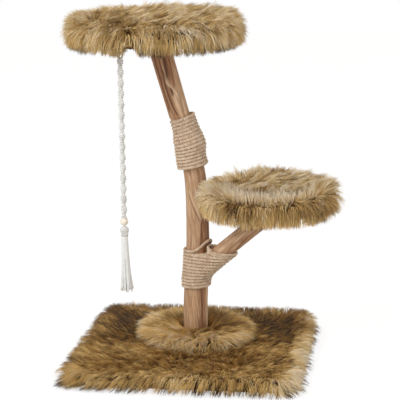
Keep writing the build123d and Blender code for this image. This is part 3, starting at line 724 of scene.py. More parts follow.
def lower_turn(angle, level):
    """A level oval whose tangent lines lie at lower_reach, and a last turn that rises into the crotch."""
    reach = lower_reach(angle, level)
    swing = (lower_reach(angle + 0.001, level) - lower_reach(angle - 0.001, level)) / 0.002
    rise = np.where(level > crotch_z, crotch_rise * np.maximum(np.cos(angle - limb_bearing), 0) ** 2, 0)
    return np.stack([
        trunk_x(level) + reach * np.cos(angle) - swing * np.sin(angle),
        trunk_y(level) + reach * np.sin(angle) + swing * np.cos(angle),
        level + rise,
    ], -1)


print("rope of", upper_turns + lower_turns + crotch_turns, "turns")

# %% Three strands about the rope's middle
rope_lay, rope_step = 21.0, 2.8
strand_r, strand_off = 1.85, 1.6


def rope_strands(middle, outward):
    """Three tubes about the middle line: middle + off (cos lay * out + sin lay * across)."""
    path = run_along(middle)
    run = np.linspace(0, path[-1], int(path[-1] / rope_step))
    middle, outward = (read_line(run, path, line) for line in (middle, outward))
    out, across = square_to(middle, outward)
    strands = []
    for start in np.arange(3) * 2 * np.pi / 3:
        lay = (2 * np.pi * run / rope_lay + start)[:, None]
        off = np.cos(lay) * out + np.sin(lay) * across
        strands.append(tube(middle + strand_off * off, strand_r, 8, off))
    return strands


def wound(turn_shape, low, turns, per_turn):
    """A winding's middle line, from the back and upward, and the way out from the trunk."""
    share = np.linspace(0, turns, turns * per_turn + 1)
    angle = np.pi / 2 + 2 * np.pi * share
    middle = turn_shape(angle, low + rope_pitch * share)
    return middle, level_way(angle)


def pushed(points, out):
    """Places on the upper turns, which a first layer of rope pushes out, and to the right."""
    height = points[..., 2]
    swell = np.interp(height, [400, 412, 428, 440], [5.0, 4.5, 1.5, 0.0])
    right = np.interp(height, [400, 428, 445, 470, 510], [-1, 0, 4, 6, 4])
    return points + swell[..., None] * out + right[..., None] * np.array([1.0, 0, 0])


def sleeve(turn_shape, low, high):
    """A tube of rope colour just inside the rope's middle line, so that no wood shows between the
    turns, and its way out from the trunk."""
    angle, level = np.meshgrid(np.linspace(0, 2 * np.pi, 96, endpoint=False), np.linspace(low, high, 40))
    middle = turn_shape(angle.ravel(), level.ravel()).reshape(*angle.shape, 3)
    return middle - 0.6 * level_way(angle), level_way(angle)


# %% The two lashings
middle, out = wound(upper_turn, upper_low, upper_turns, 96)
upper_strands = rope_strands(pushed(middle, out), out)
upper_strands.append(pushed(*sleeve(upper_turn, upper_low + 1, upper_low + rope_pitch * upper_turns - 1)))
upper_rope = grid_pieces("jute_upper_lashing", upper_strands, jute, "stand", "jute")
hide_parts("upper_lashing")

lower_strands = rope_strands(*wound(lower_turn, lower_low, lower_turns + crotch_turns, 110))
for hitch_at, hitch_tilt, piled in ((79.0, 21.0, 0.0), (84.5, 22.0, 5.0)):
    hitch_turn = np.linspace(2.3, 2.6 + 2 * np.pi, 120)
    hitch_out = np.sin(hitch_turn)[:, None] * limb_up + np.cos(hitch_turn)[:, None] * limb_side
    hitch_along = hitch_at - hitch_tilt * np.sin(hitch_turn) + 2.0 * (hitch_turn / np.pi - 1.7)
    hitch_r = limb_r(hitch_at) + rope_out + piled * np.maximum(np.sin(hitch_turn), 0) ** 2
    hitch = limb_root + hitch_along[:, None] * limb_dir + hitch_r[:, None] * hitch_out
    lower_strands += rope_strands(hitch, hitch_out)
lower_strands.append(sleeve(lower_turn, lower_low + 1, crotch_z - 1)[0])
lower_rope = grid_pieces("jute_lower_lashing", lower_strands, jute, "stand", "jute")
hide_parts("lower_lashing")
print("rope faces", len(upper_rope.data.polygons), len(lower_rope.data.polygons))

# %% [markdown]
# ## Ground cloths
# Fur fabric is a knitted ground cloth with the pile standing on it. The cloth is pulled over each
# board and folded under it as a hem. It shows only deep between the hairs and underneath, so it is a
# thin closed shell in a dark tan knit; the dark tan is painted shade, standing for the shadow deep in
# the pile. Over the base it runs from a round hole at the trunk's collar to the rounded square edge;
# on the perches it is a band round the board's edge.

# %% Knitted ground cloth
# Painted shade: the knit's dark tan stands for the shadow between the hairs.
ground, tree, shader = finish("knitted ground cloth", 0.95)
place = add(tree, "TexCoord")
knit = add(tree, "TexVoronoi", {"Vector": place.outputs["Object"], "Scale": 600.0})
tint = mottled(tree, 30.0, 4.0, [(0.35, "#5A4022"), (0.65, "#866538")])[1]
dress(tree, shader, tint, knit.outputs["Distance"], 0.5, 0.5)
print("ground cloth ready")

# %% The base's outline
board_low, board_high = box_mm("base_board")
base_half = (board_high[0] - board_low[0]) / 2
base_corner, base_hem, base_side = 24.0, 36.0, 22
cloth_t, cloth_gap, cloth_bend = 1.5, 0.3, 3
collar_r = (plinth_high[0] - plinth_low[0]) / 2


def square_outline(turn, half, corner):
    """A rounded square by the angle from its middle: a square with each corner pushed to its arc."""
    x, y = np.cos(turn), np.sin(turn)
    flat = np.minimum(half / np.maximum(np.abs(x), 1e-9), half / np.maximum(np.abs(y), 1e-9))
    inner = half - corner
    b = inner * (np.abs(x) + np.abs(y))
    c = 2 * inner ** 2 - corner ** 2
    arc = b + np.sqrt(np.maximum(b ** 2 - c, 0))
    in_corner = np.minimum(np.abs(x), np.abs(y)) * flat > inner
    reach = np.where(in_corner, arc, flat)
    return np.stack([reach * x, reach * y], -1)


def at_height(xy, height):
    """Places on a plan, raised to a height or to one each."""
    return np.column_stack([xy, np.broadcast_to(height, len(xy))])


def polar(centre, radius, turn):
    """Places on a plan by their distance and angle from a centre."""
    return np.stack([centre[0] + radius * np.cos(turn), centre[1] + radius * np.sin(turn)], -1)


# %% Base cloth
turn = around(240, 0.5)
foot = np.array([foot_x, foot_y])
top_in = polar(foot, collar_r + 0.6, turn)
rows = []
z_top, z_low = board_high[2], board_low[2]
edge = square_outline(turn, base_half, base_corner)
for share in np.linspace(0, 1, 12):
    rows.append((top_in + (edge - top_in) * share * (base_half - 4) / base_half, z_top + cloth_t + cloth_gap))
for share in np.linspace(0, 1, 6):
    bend = share * np.pi / 2
    bend_r = cloth_bend + cloth_t + cloth_gap
    half = base_half - cloth_bend + bend_r * np.sin(bend)
    rows.append((square_outline(turn, half, base_corner), z_top - cloth_bend + bend_r * np.cos(bend)))
hem_rows = (
    (base_half + cloth_t + cloth_gap, z_low), (base_half + cloth_t - 0.5, z_low - cloth_t),
    (base_half - 1, z_low - cloth_t - cloth_gap), (base_half - base_hem, z_low - cloth_t - cloth_gap),
    (base_half - base_hem, z_low - cloth_gap), (base_half - 1, z_low - cloth_gap),
    (base_half + cloth_gap, z_low + 0.6), (base_half + cloth_gap, z_top - 2),
)
for half, z in hem_rows:
    rows.append((square_outline(turn, half, base_corner), z))
for share in np.linspace(1, 0, 6):
    rows.append((top_in + (edge - top_in) * share * (base_half - 2) / base_half, z_top + cloth_gap))
shell = np.stack([at_height(xy, z) for xy, z in rows])
base_cloth = grid_pieces("base_ground_cloth", [shell[::-1]], ground, "stand", "fur", ring=True)
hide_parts("base_cover")

# %% Cloths turned about an axis
def turned(centre, profile, columns):
    """A closed outline of radius and height turned about a vertical axis."""
    turn = around(columns)
    return np.stack([at_height(polar(centre, radius, turn), height) for radius, height in profile])


collar_profile = [
    (26.6, foot_z + 0.4), (26.6, foot_z + 2), (60, foot_z + 3.5), (collar_r - 4, foot_z + 2.4),
    (collar_r + 1, foot_z + 0.6), (collar_r + 1.9, foot_z - 3), (collar_r + 2, base_top + 2.5),
    (collar_r + 0.5, base_top + 2.5), (collar_r + 0.4, foot_z), (collar_r, foot_z + 0.4),
]
collar_shell = turned(foot, collar_profile, 96)[::-1]
plinth_cloth = grid_pieces("plinth_ground_cloth", [collar_shell], ground, "stand", "fur", ring=True)
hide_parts("plinth_cover")

# %% [markdown]
# ## Cushions
# Each perch is a round foam pad in its ground cloth. The cloth is tight and the foam presses it out,
# so the form is a crowned cushion that swells at its side. It starts a little small, and a short cloth
# simulation with inner pressure gives the swell; the movement is capped so that it stays on its board.

# %% A swollen cushion
swell_cap, swell_pressure, swell_steps = 3.0, 4.0, 20
voxel = 6.0
crown_z, crown_drop = 19.0, 5.5


def cushion(name, centre, radius, low):
    """A round pad from flat underside to crowned top, closed at both poles by small caps."""
    share = np.linspace(0, 1, 18)
    crown = [(max(radius * s, 0.5) * 0.94, low + crown_z - crown_drop * s ** 2.2) for s in share]
    side = [
        (radius - 3 + 3.2 * np.sin(bend), low + 7 - 6.5 * np.sin(bend - np.pi / 2))
        for bend in np.linspace(0.5, 2.9, 9)
    ]
    under = [(radius - 4, low + 0.3), (radius / 2, low + 0.3), (0.5, low + 0.3)]
    made = grid_pieces(name, [turned(centre, (crown + side + under)[::-1], 96)], ground, "stand", "fur")
    bpy.ops.object.select_all(action="DESELECT")
    bpy.context.view_layer.objects.active = made
    made.select_set(True)
    remesh = made.modifiers.new("remesh", "REMESH")
    remesh.mode, remesh.voxel_size = "VOXEL", voxel * mm
    bpy.ops.object.modifier_apply(modifier="remesh")
    rest = np.zeros(len(made.data.vertices) * 3)
    made.data.vertices.foreach_get("co", rest)
    cloth = made.modifiers.new("cloth", "CLOTH")
    cloth.settings.use_pressure = True
    cloth.settings.uniform_pressure_force = swell_pressure
    cloth.settings.effector_weights.gravity = 0.0
    for step in range(1, swell_steps + 1):
        bpy.context.scene.frame_set(step)
    bpy.ops.object.modifier_apply(modifier="cloth")
    bpy.context.scene.frame_set(1)
    swollen = np.zeros_like(rest)
    made.data.vertices.foreach_get("co", swollen)
    move = (swollen - rest).reshape(-1, 3)
    length = np.linalg.norm(move, axis=1, keepdims=True)
    move = move * np.minimum(1, swell_cap * mm / np.maximum(length, 1e-9))
    settled = rest.reshape(-1, 3) + move
    settled[:, 2] = np.maximum(settled[:, 2], (low + 0.3) * mm)
    made.data.vertices.foreach_set("co", settled.ravel())
    made.data.polygons.foreach_set("use_smooth", np.full(len(made.data.polygons), True))
    made.modifiers.new("round", "SUBSURF").levels = 1
    made.modifiers["round"].render_levels = 1
    return made


# %% The two cushions and their hems
perches = {}
for label in ("top", "side"):
    low, high = box_mm(f"{label}_board")
    perch_centre = (low + high)[:2] / 2
    r, z0, z1 = (high[0] - low[0]) / 2, low[2], high[2]
    perches[label] = (perch_centre, r, z0, z1)
    pad = cushion(f"{label}_cushion", perch_centre, r, z1)
    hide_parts(f"{label}_pad")
    hem = [
        (r - 20, z0 - 0.4), (r - 1, z0 - 0.4), (r + 0.5, z0 + 0.5), (r + 0.5, z1 + 6), (r + 1.0, z1 + 8),
        (r + 2.2, z1 + 6), (r + 2.4, z0 + 1), (r + 1.2, z0 - 1.6), (r - 1, z0 - 2.4), (r - 20, z0 - 2.2),
    ]
    shell = turned(perch_centre, hem[::-1], 128)
    band = grid_pieces(f"{label}_hem_cloth", [shell], ground, "stand", "fur", ring=True)
    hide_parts(f"{label}_cover")
    print(label, "perch cushion", len(pad.data.vertices), "points")

# %% [markdown]
# ## Felt under the base
# A sheet of pressed felt closes the base's underside, so it slides quietly on a floor. It is matt and
# nearly black, with short tangled fibres, and its cut edge is a little uneven.

# %% Felt sheet
felt, tree, shader = finish("pressed wool felt", 0.97)
tangle, tint = mottled(tree, 700.0, 3.0, [(0.35, "#2B2826"), (0.65, "#4A4643")], distortion=1.5)
dress(tree, shader, tint, tangle, 0.5, 0.3)
felt_low, felt_high = box_mm("base_backing")
felt_half, felt_corner = (felt_high[0] - felt_low[0]) / 2, 19
turn = around(200, 0.5)
ragged = 1 - 0.0015 * (1 + np.sin(23 * turn) * np.sin(9 * turn))
outline = square_outline(turn, felt_half, felt_corner) * ragged[:, None]
felt_rows = (
    (0.02, 0.0), (0.5, 0.0), (0.995, 0.0), (1.0, 0.5), (1.0, 1.5), (0.997, 1.95), (0.5, 1.95), (0.02, 1.95),
)
felt_grid = np.stack([at_height(outline * share, felt_low[2] + z) for share, z in felt_rows])
felt_sheet = grid_pieces("base_felt", [felt_grid], felt, "stand", "felt")
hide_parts("base_backing")
print("felt", round(2 * felt_half), "mm square")

# %% [markdown]
# ## Faux fur
# The fur is long acrylic pile: ochre and tan locks with dark brown tips, paler where it turns over an
# edge. Blender's hair can't leave the program as a mesh, so each lock is a thin three-sided spike of
# sixteen triangles on a bent line. Locks grow in tufts that lean and close together, which is what
# makes fur look like fur. A lock's own map holds its tone across and its root and tip along, so one
# small chart of colours serves every lock.

# %% Acrylic pile
fur, tree, shader = finish("acrylic long pile", 0.6, Specular_IOR_Level=0.3)
coat = (
    (0.00, "#2B1E13", "#4E3925", "#1E160F"),
    (0.20, "#4E371F", "#8E6C42", "#41301D"),
    (0.40, "#7B5B30", "#CFAB6C", "#72552F"),
    (0.58, "#9E7C48", "#E9CE98", "#D8BC83"),
    (0.76, "#D6BD92", "#FBEDCF", "#FCF3DD"),
    (0.80, "#6E471A", "#B88137", "#4E351C"),
    (1.00, "#B08440", "#F7D68C", "#E2B86E"),
)
place = add(tree, "UVMap", uv_map="OFBake")
chart = add(tree, "SeparateXYZ", {"Vector": place.outputs["UV"]})
coat_tones, *coat_parts = zip(*coat)
root, middle, tip = (
    add(tree, "ValToRGB", {"Fac": chart.outputs["X"]}, zip(coat_tones, colours)).outputs["Color"]
    for colours in coat_parts
)
to_middle = add(tree, "MapRange", {"Value": chart.outputs["Y"], "From Min": 0.0, "From Max": 0.4})
to_tip = add(tree, "MapRange", {"Value": chart.outputs["Y"], "From Min": 0.62, "From Max": 0.95})
first = add(tree, "Mix", {0: to_middle.outputs[0], 6: root, 7: middle}, data_type="RGBA")
second = add(tree, "Mix", {0: to_tip.outputs[0], 6: first.outputs[2], 7: tip}, data_type="RGBA")
dress(tree, shader, second.outputs[2])
coat_top, warm_low, warm_span = 0.77, 0.82, 0.17
print("pile ready")

# %% Locks
lock_stages = np.array([0.0, 0.34, 0.7])
lock_widths = np.array([0.8, 1.0, 0.62])
lock_sides = ((0, 1), (1, 2), (2, 0))
lock_quads = [(j + a, j + b, j + 3 + b, j + 3 + a) for j in (0, 3) for a, b in lock_sides]
lock_tips = [(6 + a, 6 + b, 9) for a, b in lock_sides]
lock_faces = np.array([corner for face in lock_quads + lock_tips for corner in face] + [2, 1, 0])
lock_chart = np.array(6 * [-1, 1, 1, -1] + 3 * [-1, 1, 0] + [-1, 0, 1])
chart_step = 0.004


def locks(name, roots, leave, end, width, tone):
    """One spike a row. Its middle is (1-t)^2 root + 2t(1-t) leave + t^2 end, and three corners stand
    round it at each stage."""
    count = len(roots)
    rng = np.random.default_rng(count)
    heading = unit(end - roots)
    out = unit(np.cross(heading, rng.normal(size=(count, 3))))
    across = np.cross(heading, out)
    t = lock_stages[None, :, None]
    middle = (1 - t) ** 2 * roots[:, None] + 2 * t * (1 - t) * leave[:, None] + t ** 2 * end[:, None]
    ring = rings(around(3), out, across)
    radius = (width[:, None] * lock_widths / 2)[:, :, None, None]
    points = (middle[:, :, None] + radius * ring[:, None]).reshape(count, 9, 3)
    points = np.concatenate([points, end[:, None]], 1).reshape(-1, 3)
    corners = (lock_faces[None] + 10 * np.arange(count)[:, None]).ravel()
    sides = np.tile([4] * 6 + [3] * 4, count)
    stage = np.append(np.repeat(lock_stages, 3), 1.0)[lock_faces]
    stage[-3:] = (0.0, 0.02, 0.0)
    u = np.clip(tone, 2 * chart_step, 1 - 2 * chart_step)[:, None] + chart_step * lock_chart
    v = np.broadcast_to(0.005 + 0.99 * stage, u.shape)
    uv = np.stack([u, v], -1).reshape(-1, 2)
    put_mesh(name, points, corners, sides, uv, fur, "stand", "fur", smooth=False)
    print(name, count, "locks")


# %% Growing tufts of locks
upward = np.array([0, 0, 1.0])
lock_width, root_depth = 1.05, 1.5


def ramp(x, start, span):
    """0 up to start, then straight up to 1 over a span."""
    return np.clip((x - start) / span, 0, 1)


def tufts(count, each, rng):
    """Numbers of the tuft that each lock belongs to, and two offsets of a lock inside its tuft."""
    return np.repeat(np.arange(count), each), rng.normal(size=(count * each, 2))


def grow(
    name, member, roots, heading, first, second, tone, warm, seed,
    floor=2.0, close=0.35, spread=1.0, loose=1.0,
):
    """Locks of two legs. A leg is its rise above the level in degrees and its length, so that it ends
    length (cos(rise) heading + sin(rise) upward) further on. The ends of a tuft close in on each other."""
    rng = np.random.default_rng(seed)
    count = member.max() + 1
    sunk = place = roots - root_depth * upward
    stops = []
    per_tuft, per_lock = rng.normal(size=(2, count, 3))[:, member], rng.normal(size=(2, len(member), 3))
    for leg, (rise, length) in enumerate((first, second)):
        jitter = loose * (per_tuft[leg] + 0.6 * per_lock[leg])
        turn = ((0.2 + 0.12 * leg) * jitter[:, 0])[:, None]
        way = np.cos(turn) * heading + np.sin(turn) * np.cross(upward, heading)
        rise = np.radians(rise + 7 * jitter[:, 1])[:, None]
        length = (length * (1 + 0.09 * jitter[:, 2]))[:, None]
        place = place + length * (np.cos(rise) * way + np.sin(rise) * upward)
        stops.append(place)
    leave, end = stops
    shared = np.zeros((count, 3))
    np.add.at(shared, member, end)
    end = end + close * ((shared / np.bincount(member)[:, None])[member] - end)
    low = floor + 2 * np.abs(per_lock[0, :, 2])
    end[:, 2] = np.maximum(end[:, 2], low)
    leave[:, 2] = np.maximum(leave[:, 2], low)
    tone = tone + spread * (0.09 * per_tuft[1, :, 2] + 0.06 * per_lock[1, :, 2])
    tone = np.clip(tone, 0.02, coat_top)
    warmed = warm_low + warm_span * ramp(tone, 0.1, 0.45)
    tone = np.where(rng.uniform(size=len(member)) < warm, warmed, tone)
    width = lock_width * np.clip(1 + 0.2 * rng.normal(size=len(member)), 0.5, 1.6)
    locks(name, sunk, leave, end, width, tone)


# %% Roots on a turned surface
tuft_locks, tuft_spread = 9, 3.2


def wander(points, size, seed):
    """Smooth noise of about -1 to 1: eight waves of about size, with seeded headings and starts."""
    rng = np.random.default_rng(seed)
    heading = unit(rng.normal(size=(8, 3))) / (size * rng.uniform(0.7, 1.5, (8, 1)))
    return np.sin(2 * np.pi * (points @ heading.T) + rng.uniform(0, 2 * np.pi, 8)).mean(-1) * 2


def turned_tufts(centre, profile, start, stop, count, rng):
    """Tufts spread evenly over a part of a turned outline: each lock's tuft, distance along the outline,
    place and heading from the axis, and the places of the tufts."""
    run = run_along(profile)
    s = np.linspace(start, stop, 400)
    area = np.cumsum(np.maximum(np.interp(s, run, profile[:, 0]), 1.0))
    s = np.interp(rng.uniform(0, 1, count), area / area[-1], s)
    face = rng.uniform(0, 2 * np.pi, count)
    member, offset = tufts(count, tuft_locks, rng)
    lock_s = np.clip(s[member] + tuft_spread * offset[:, 0], start, stop)
    reach = np.maximum(np.interp(s, run, profile[:, 0]), 8)
    lock_face = face[member] + tuft_spread * offset[:, 1] / reach[member]
    places = []
    for at, turn in ((s, face), (lock_s, lock_face)):
        radius, height = read_line(at, run, profile).T
        places.append(at_height(polar(centre, radius, turn), height))
    spots, roots = places
    return member, lock_s, roots, level_way(lock_face), spots


def swirled(heading, amount):
    """A level heading turned to the left by an angle."""
    return np.cos(amount)[:, None] * heading + np.sin(amount)[:, None] * np.cross(upward, heading)


def combed(place, share, hanging, standing):
    """Both legs at a place, read between stations of (place, rise, length, rise, length). A share of the
    hanging table is mixed with the standing one."""
    legs = 0
    for part, stations in ((share, hanging), (1 - share, standing)):
        at, *columns = np.array(stations, float).T
        legs = legs + part * np.stack([np.interp(place, at, column) for column in columns])
    return legs[:2], legs[2:]


print("tools for fur ready")

# %% [markdown]
# ## Fur on the perches
# The nap runs to the front. On a perch's top the locks are brushed that way, at the back and the sides
# they stand up from the rim, which makes the cushion boxy, and in front they arch over the rim and hang
# to a ragged fringe under the board. Two short tables of stations along the cushion's outline give both
# legs of a lock, one for standing and one for hanging fur, so nothing jumps from top to side. In front
# the side perch's fur parts below the rim: pale locks stand up above the parting, dark roots lie in it,
# and the pale band fades to the right.

# %% How perch fur lies
perch_hanging = (
    (-70, 70, 21, 6, 28), (-25, 70, 22, 2, 28), (-8, 64, 25, -18, 26), (2, 54, 26, -52, 28),
    (12, 12, 25, -95, 34), (20, -15, 19, -95, 24), (31, -45, 13, -95, 10),
)
perch_standing = (
    (-70, 70, 21, 6, 28), (-25, 72, 24, 8, 27), (-8, 70, 26, 12, 24), (2, 50, 24, -8, 23),
    (12, 20, 23, -74, 28), (20, -10, 20, -88, 22), (31, -45, 13, -95, 9),
)
front_face = np.radians(-81)
rim_start, rim_end = -14, 7
nap_swirl = 0.45
stood_up = ((58, 13), (122, 13))


def part_front(legs, tone, past, from_front, height):
    """Legs and tones in front of the side perch, where locks above a ragged height stand up. The fur is
    shorter beside the back and longer at the right; standing locks are pale, roots under them dark."""
    (rise, length), (tip_rise, tip_length) = legs
    rounder = 1 - 0.34 * hill(np.abs(from_front), 1.9, 0.7)
    wider = 1 + 0.36 * hill(from_front, 1.4, 0.6) * ramp(past, -25, 20)
    legs = ((rise, length * rounder * wider), (tip_rise, tip_length * wider))
    in_front = np.exp(-((from_front / 1.25) ** 4))
    standing = in_front * ramp(past, -42, 20) / (1 + np.exp((past - height) / 1.5))
    legs = [[a + standing * (b - a) for a, b in zip(leg, stood)] for leg, stood in zip(legs, stood_up)]
    paler = 0.55 - 0.45 * ramp(from_front, 0.2, 0.7)
    tone = tone + paler * standing - 0.24 * in_front * hill(past, 10, 7)
    return legs, tone + 0.32 * ramp(past, 14, 8) + 0.1 * hill(from_front, -1.2, 0.5)


# %% Perch fur
def perch_fur(label, seed, brushed, parted, fringe, counts):
    """Locks on the crowned top, at the rim and on the side, each part a piece of its own. Distances
    past the rim, along the outline, and angles from the front set a lock's legs, tone and fringe."""
    rng = np.random.default_rng(seed)
    centre, r, board_low, board_high = perches[label]
    profile = np.array([
        (0, board_high + 18.5), (r * 0.5, board_high + 17.5), (r * 0.8, board_high + 15.5),
        (r - 6, board_high + 12), (r - 1, board_high + 7), (r + 0.5, board_high + 2),
        (r + 1.2, board_low + 4), (r + 0.6, board_low - 1.5),
    ])
    run = run_along(profile)
    rim, total = run[3], run[-1]
    marks = (0, rim + rim_start, rim + rim_end, total)
    for part, start, stop, count in zip(("top", "rim", "side"), marks, marks[1:], counts):
        member, s, roots, out, spots = turned_tufts(centre, profile, start, stop, count, rng)
        past = s - rim
        from_front = turned_from(np.arctan2(out[:, 1], out[:, 0]), front_face)
        inner = ramp(-past, 0, 36)[:, None]
        away = (roots - np.append(centre, 0)) * np.array([1, 1, 0]) / r
        heading = (1 - inner) * out + inner * (0.4 * away + np.append(brushed, 0))
        heading = heading / np.maximum(np.linalg.norm(heading, axis=1, keepdims=True), 0.7)
        heading = swirled(heading, nap_swirl * wander(spots, 60, seed + 1)[member])
        legs = combed(past, np.clip(1.3 * np.cos(from_front), 0, 1), perch_hanging, perch_standing)
        tone = 0.55 + 0.11 * wander(spots, 55, seed + 2)[member] + 0.16 * wander(spots, 17, seed + 3)[member]
        chance = rng.uniform(-1, 1, (2, count))[:, member]
        tone = np.where((past < rim_start) & (chance[1] < -0.84), tone - 0.3, tone)
        if parted:
            height = 2 + 4 * wander(spots, 40, seed + 6)[member] + 5 * chance[0]
            legs, tone = part_front(legs, tone, past, from_front, height)
            above_rim, warm_fringe, dark_from = 0, 0.4, 0.8
            bays = 14 * hill(from_front, 1.5, 0.5)
        else:
            # Painted shade: locks just under the rim at the front left are darker, as the shadow under the
            # rim.
            tone = tone - 0.1 * hill(past, 6, 12) * hill(from_front, -0.55, 0.6)
            tone = np.where(past > rim_start, np.maximum(tone, 0.32), tone)
            above_rim = 1 - 0.9 * hill(from_front, -1.35, 0.6) * ramp(past, -40, 30)
            warm_fringe, dark_from = 0, 0.3
            beside = roots[:, 0] - on_cord(0)[0]
            bays = (24 * hill(beside, 32, 10) - 12 * hill(beside, 15, 7)) * (out[:, 1] < 0)
        warm = np.interp(past, [-20, 5, 31], [0.1, 0.13, 0.5]) * np.where(past < rim_end, above_rim, 1)
        warm = warm + warm_fringe * (past > 15)
        dark_tip = (past > 17) & (chance[1] > dark_from)
        tone, warm = np.where(dark_tip, 0.1, tone), np.where(dark_tip, 0, warm)
        ragged = board_low - fringe + 4 * wander(roots, 16, seed + 4) - 5 * dark_tip + bays
        close = 0.25 if part == "side" else 0.35
        grow(f"{label}_fur_{part}", member, roots, heading, *legs, tone, warm, seed + 5, ragged, close)


perch_fur("top", 21, (0.8, -0.4), False, 16, (1250, 740, 1160))
perch_fur("side", 61, (0.7, -0.4), True, 21, (760, 500, 900))

# %% [markdown]
# ## Fur on the base
# The base's locks lie outward to the nearest edge and a little to the front, browner than on the perches
# and with many dark tips. At the front and right edges they arch over, so that their pale middles make a
# band, and hang to the floor in dark tips; in front on the left the fringe is combed to the left. At the
# left and the back they stand out. Tufts are closer together at the corners, where they have further to
# spread. Round the trunk a collar of lighter locks stands out like a mane: upright at the trunk, outward
# and down at its edge.

# %% How base fur lies
base_hanging = (
    (-70, 62, 16, 6, 16), (-25, 62, 17, 0, 18), (-8, 56, 22, -22, 20), (0, 42, 26, -50, 29),
    (17, 0, 20, -66, 18),
)
base_standing = (
    (-70, 62, 16, 6, 16), (-25, 66, 18, 6, 18), (-8, 62, 22, 8, 20), (0, 42, 23, -10, 22),
    (17, 0, 19, -50, 17),
)
base_edge, base_spread, pile_foot = 17, 3.3, board_high[2] + 2


def base_tone(spots, out, past, seed):
    """Brown with patches, darker at the back on both sides and paler towards the front and right edges."""
    edge = np.interp(past, [-45, -22, -8, 2, 17], [0, -0.06, 0.1, 0.12, 0.04])
    share = 0.5 + 2.5 * np.maximum(out[:, 0], 0) - 0.4 * np.maximum(-out[:, 0], 0)
    calm = 1 - 0.65 * ramp(past, -20, 16)
    patches = 0.15 * wander(spots, 90, seed) + 0.28 * calm * wander(spots, 24, seed + 1)
    x, y = spots[:, 0], spots[:, 1]
    shade = 0.33 * hill(np.abs(x), 150, 80) * hill(y, 70, 110) * ramp(-past, 0, 40)
    return 0.29 - 0.0006 * y - 0.06 * ramp(-x, 0, 120) + patches + edge * share - shade


def over_edge(out):
    """Share of hanging fur by the side of the base: all of it in front, some at the right."""
    return np.clip(-1.2 * out[:, 1] + 0.6 * np.maximum(out[:, 0], 0), 0, 1)


# %% Fur on the base's top
base_seed, top_tufts, top_locks, edge_tufts, edge_locks = 41, 5000, 5, 3000, 4
rng = np.random.default_rng(base_seed)
edge_margin = 8
spot = rng.uniform(-base_half + edge_margin, base_half - edge_margin, (2 * top_tufts, 2))
spot = spot[np.linalg.norm(spot - foot, axis=1) > collar_r + 3][:top_tufts]
quarter = 2 * (spot[:, 1] < 0) + (spot[:, 0] < 0)
for part, label in enumerate(("back_right", "back_left", "front_right", "front_left")):
    chosen = spot[quarter == part]
    member, offset = tufts(len(chosen), top_locks, rng)
    spots = at_height(chosen, pile_foot)
    roots = spots[member] + at_height(base_spread * offset, 0)
    share = chosen / base_half
    away = unit(at_height(share * np.abs(share) ** 0.7 + np.array([-0.1, -0.2]), 0))
    heading = swirled(away[member], nap_swirl * wander(spots, 100, base_seed + 1)[member])
    past = base_half * (np.abs(share).max(1) - 1)
    tone = base_tone(spots, away, past, base_seed + 2)[member]
    legs = combed(past[member], over_edge(away)[member], base_hanging, base_standing)
    warm = np.interp(tone, [-0.05, 0.12], [0.25, 0.72])
    grow(f"base_fur_{label}", member, roots, heading, *legs, tone, warm, base_seed + 4 + part, close=0.2)

# %% Fur over the base's edge
turn = np.linspace(0, 2 * np.pi, 1440)
outline = square_outline(turn, base_half, base_corner)
crowd = 1 + 3 * unit(np.maximum(np.abs(outline) - base_half + base_corner, 1e-6)).prod(1)
run = np.concatenate([[0], np.cumsum(crowd[1:] * np.linalg.norm(np.diff(outline, axis=0), axis=1))])
turn = np.interp(rng.uniform(0, run[-1], edge_tufts), run, turn)
edge_band = 33
past = base_edge - edge_band * rng.uniform(0, 1, edge_tufts) ** 1.2
rim = square_outline(turn, base_half, base_corner)
away = unit(np.sign(rim) * np.maximum(np.abs(rim) - base_half + base_corner, 0) + 1e-6 * rim)
drop = np.maximum(past, 0)
spots = at_height(rim + (np.minimum(past, 0) + 1.5)[:, None] * away, pile_foot - drop)
member, offset = tufts(edge_tufts, edge_locks, rng)
out = at_height(away, 0)
roots = spots[member] + base_spread * offset[:, :1] * np.cross(upward, out)[member]
combed_left = np.clip(-out[:, 1], 0, 1) * np.clip(0.4 - spots[:, 0] / base_half, 0, 1)
heading = swirled(out[member], (0.1 * wander(spots, 70, base_seed + 8) - 0.45 * combed_left)[member])
dark_tip = (past > 10) & (rng.uniform(size=edge_tufts) < 0.4)
tone = np.where(dark_tip, 0.04, base_tone(spots, out, past, base_seed + 2))[member]
warm = (0.4 + 0.35 * drop / base_edge) * (1 - 0.75 * np.maximum(out[:, 0], 0))
warm = np.where(dark_tip, 0, warm)[member]
legs = combed(past[member], over_edge(out)[member], base_hanging, base_standing)
longer = (1 + 0.5 * np.abs(out[:, 0] * np.minimum(out[:, 1], 0)) + 0.35 * dark_tip)[member]
legs = [(rise, length * longer) for rise, length in legs]
habit = {"close": 0.05, "spread": 0.6, "loose": 0.5}
grow("base_fur_edge", member, roots, heading, *legs, tone, warm, base_seed + 9, **habit)

# %% Collar fur
collar_comb = (
    (0, 58, 17, 18, 22), (40, 50, 20, 4, 28), (58, 40, 22, -14, 32), (68, 28, 22, -32, 32),
    (90, 4, 18, -40, 22),
)
collar_seed, collar_tufts = 51, 1080
rng = np.random.default_rng(collar_seed)
profile = np.array([
    (28, foot_z + 2), (60, foot_z + 3.2), (collar_r - 6, foot_z + 2.5), (collar_r + 0.5, foot_z - 1),
    (collar_r + 1.5, base_top + 12),
])
total = run_along(profile)[-1]
member, s, roots, out, spots = turned_tufts(foot, profile, 0, total, collar_tufts, rng)
heading = swirled(out, nap_swirl * wander(spots, 60, collar_seed + 1)[member])
face = np.arctan2(out[:, 1], out[:, 0])
tone = 0.53 + 0.14 * wander(spots, 40, collar_seed + 2)[member]
tone = tone + 0.14 * wander(spots, 16, collar_seed + 3)[member]
tone = tone + np.interp(s, [0, 25, 50, 75], [-0.22, -0.08, 0.1, 0.16])
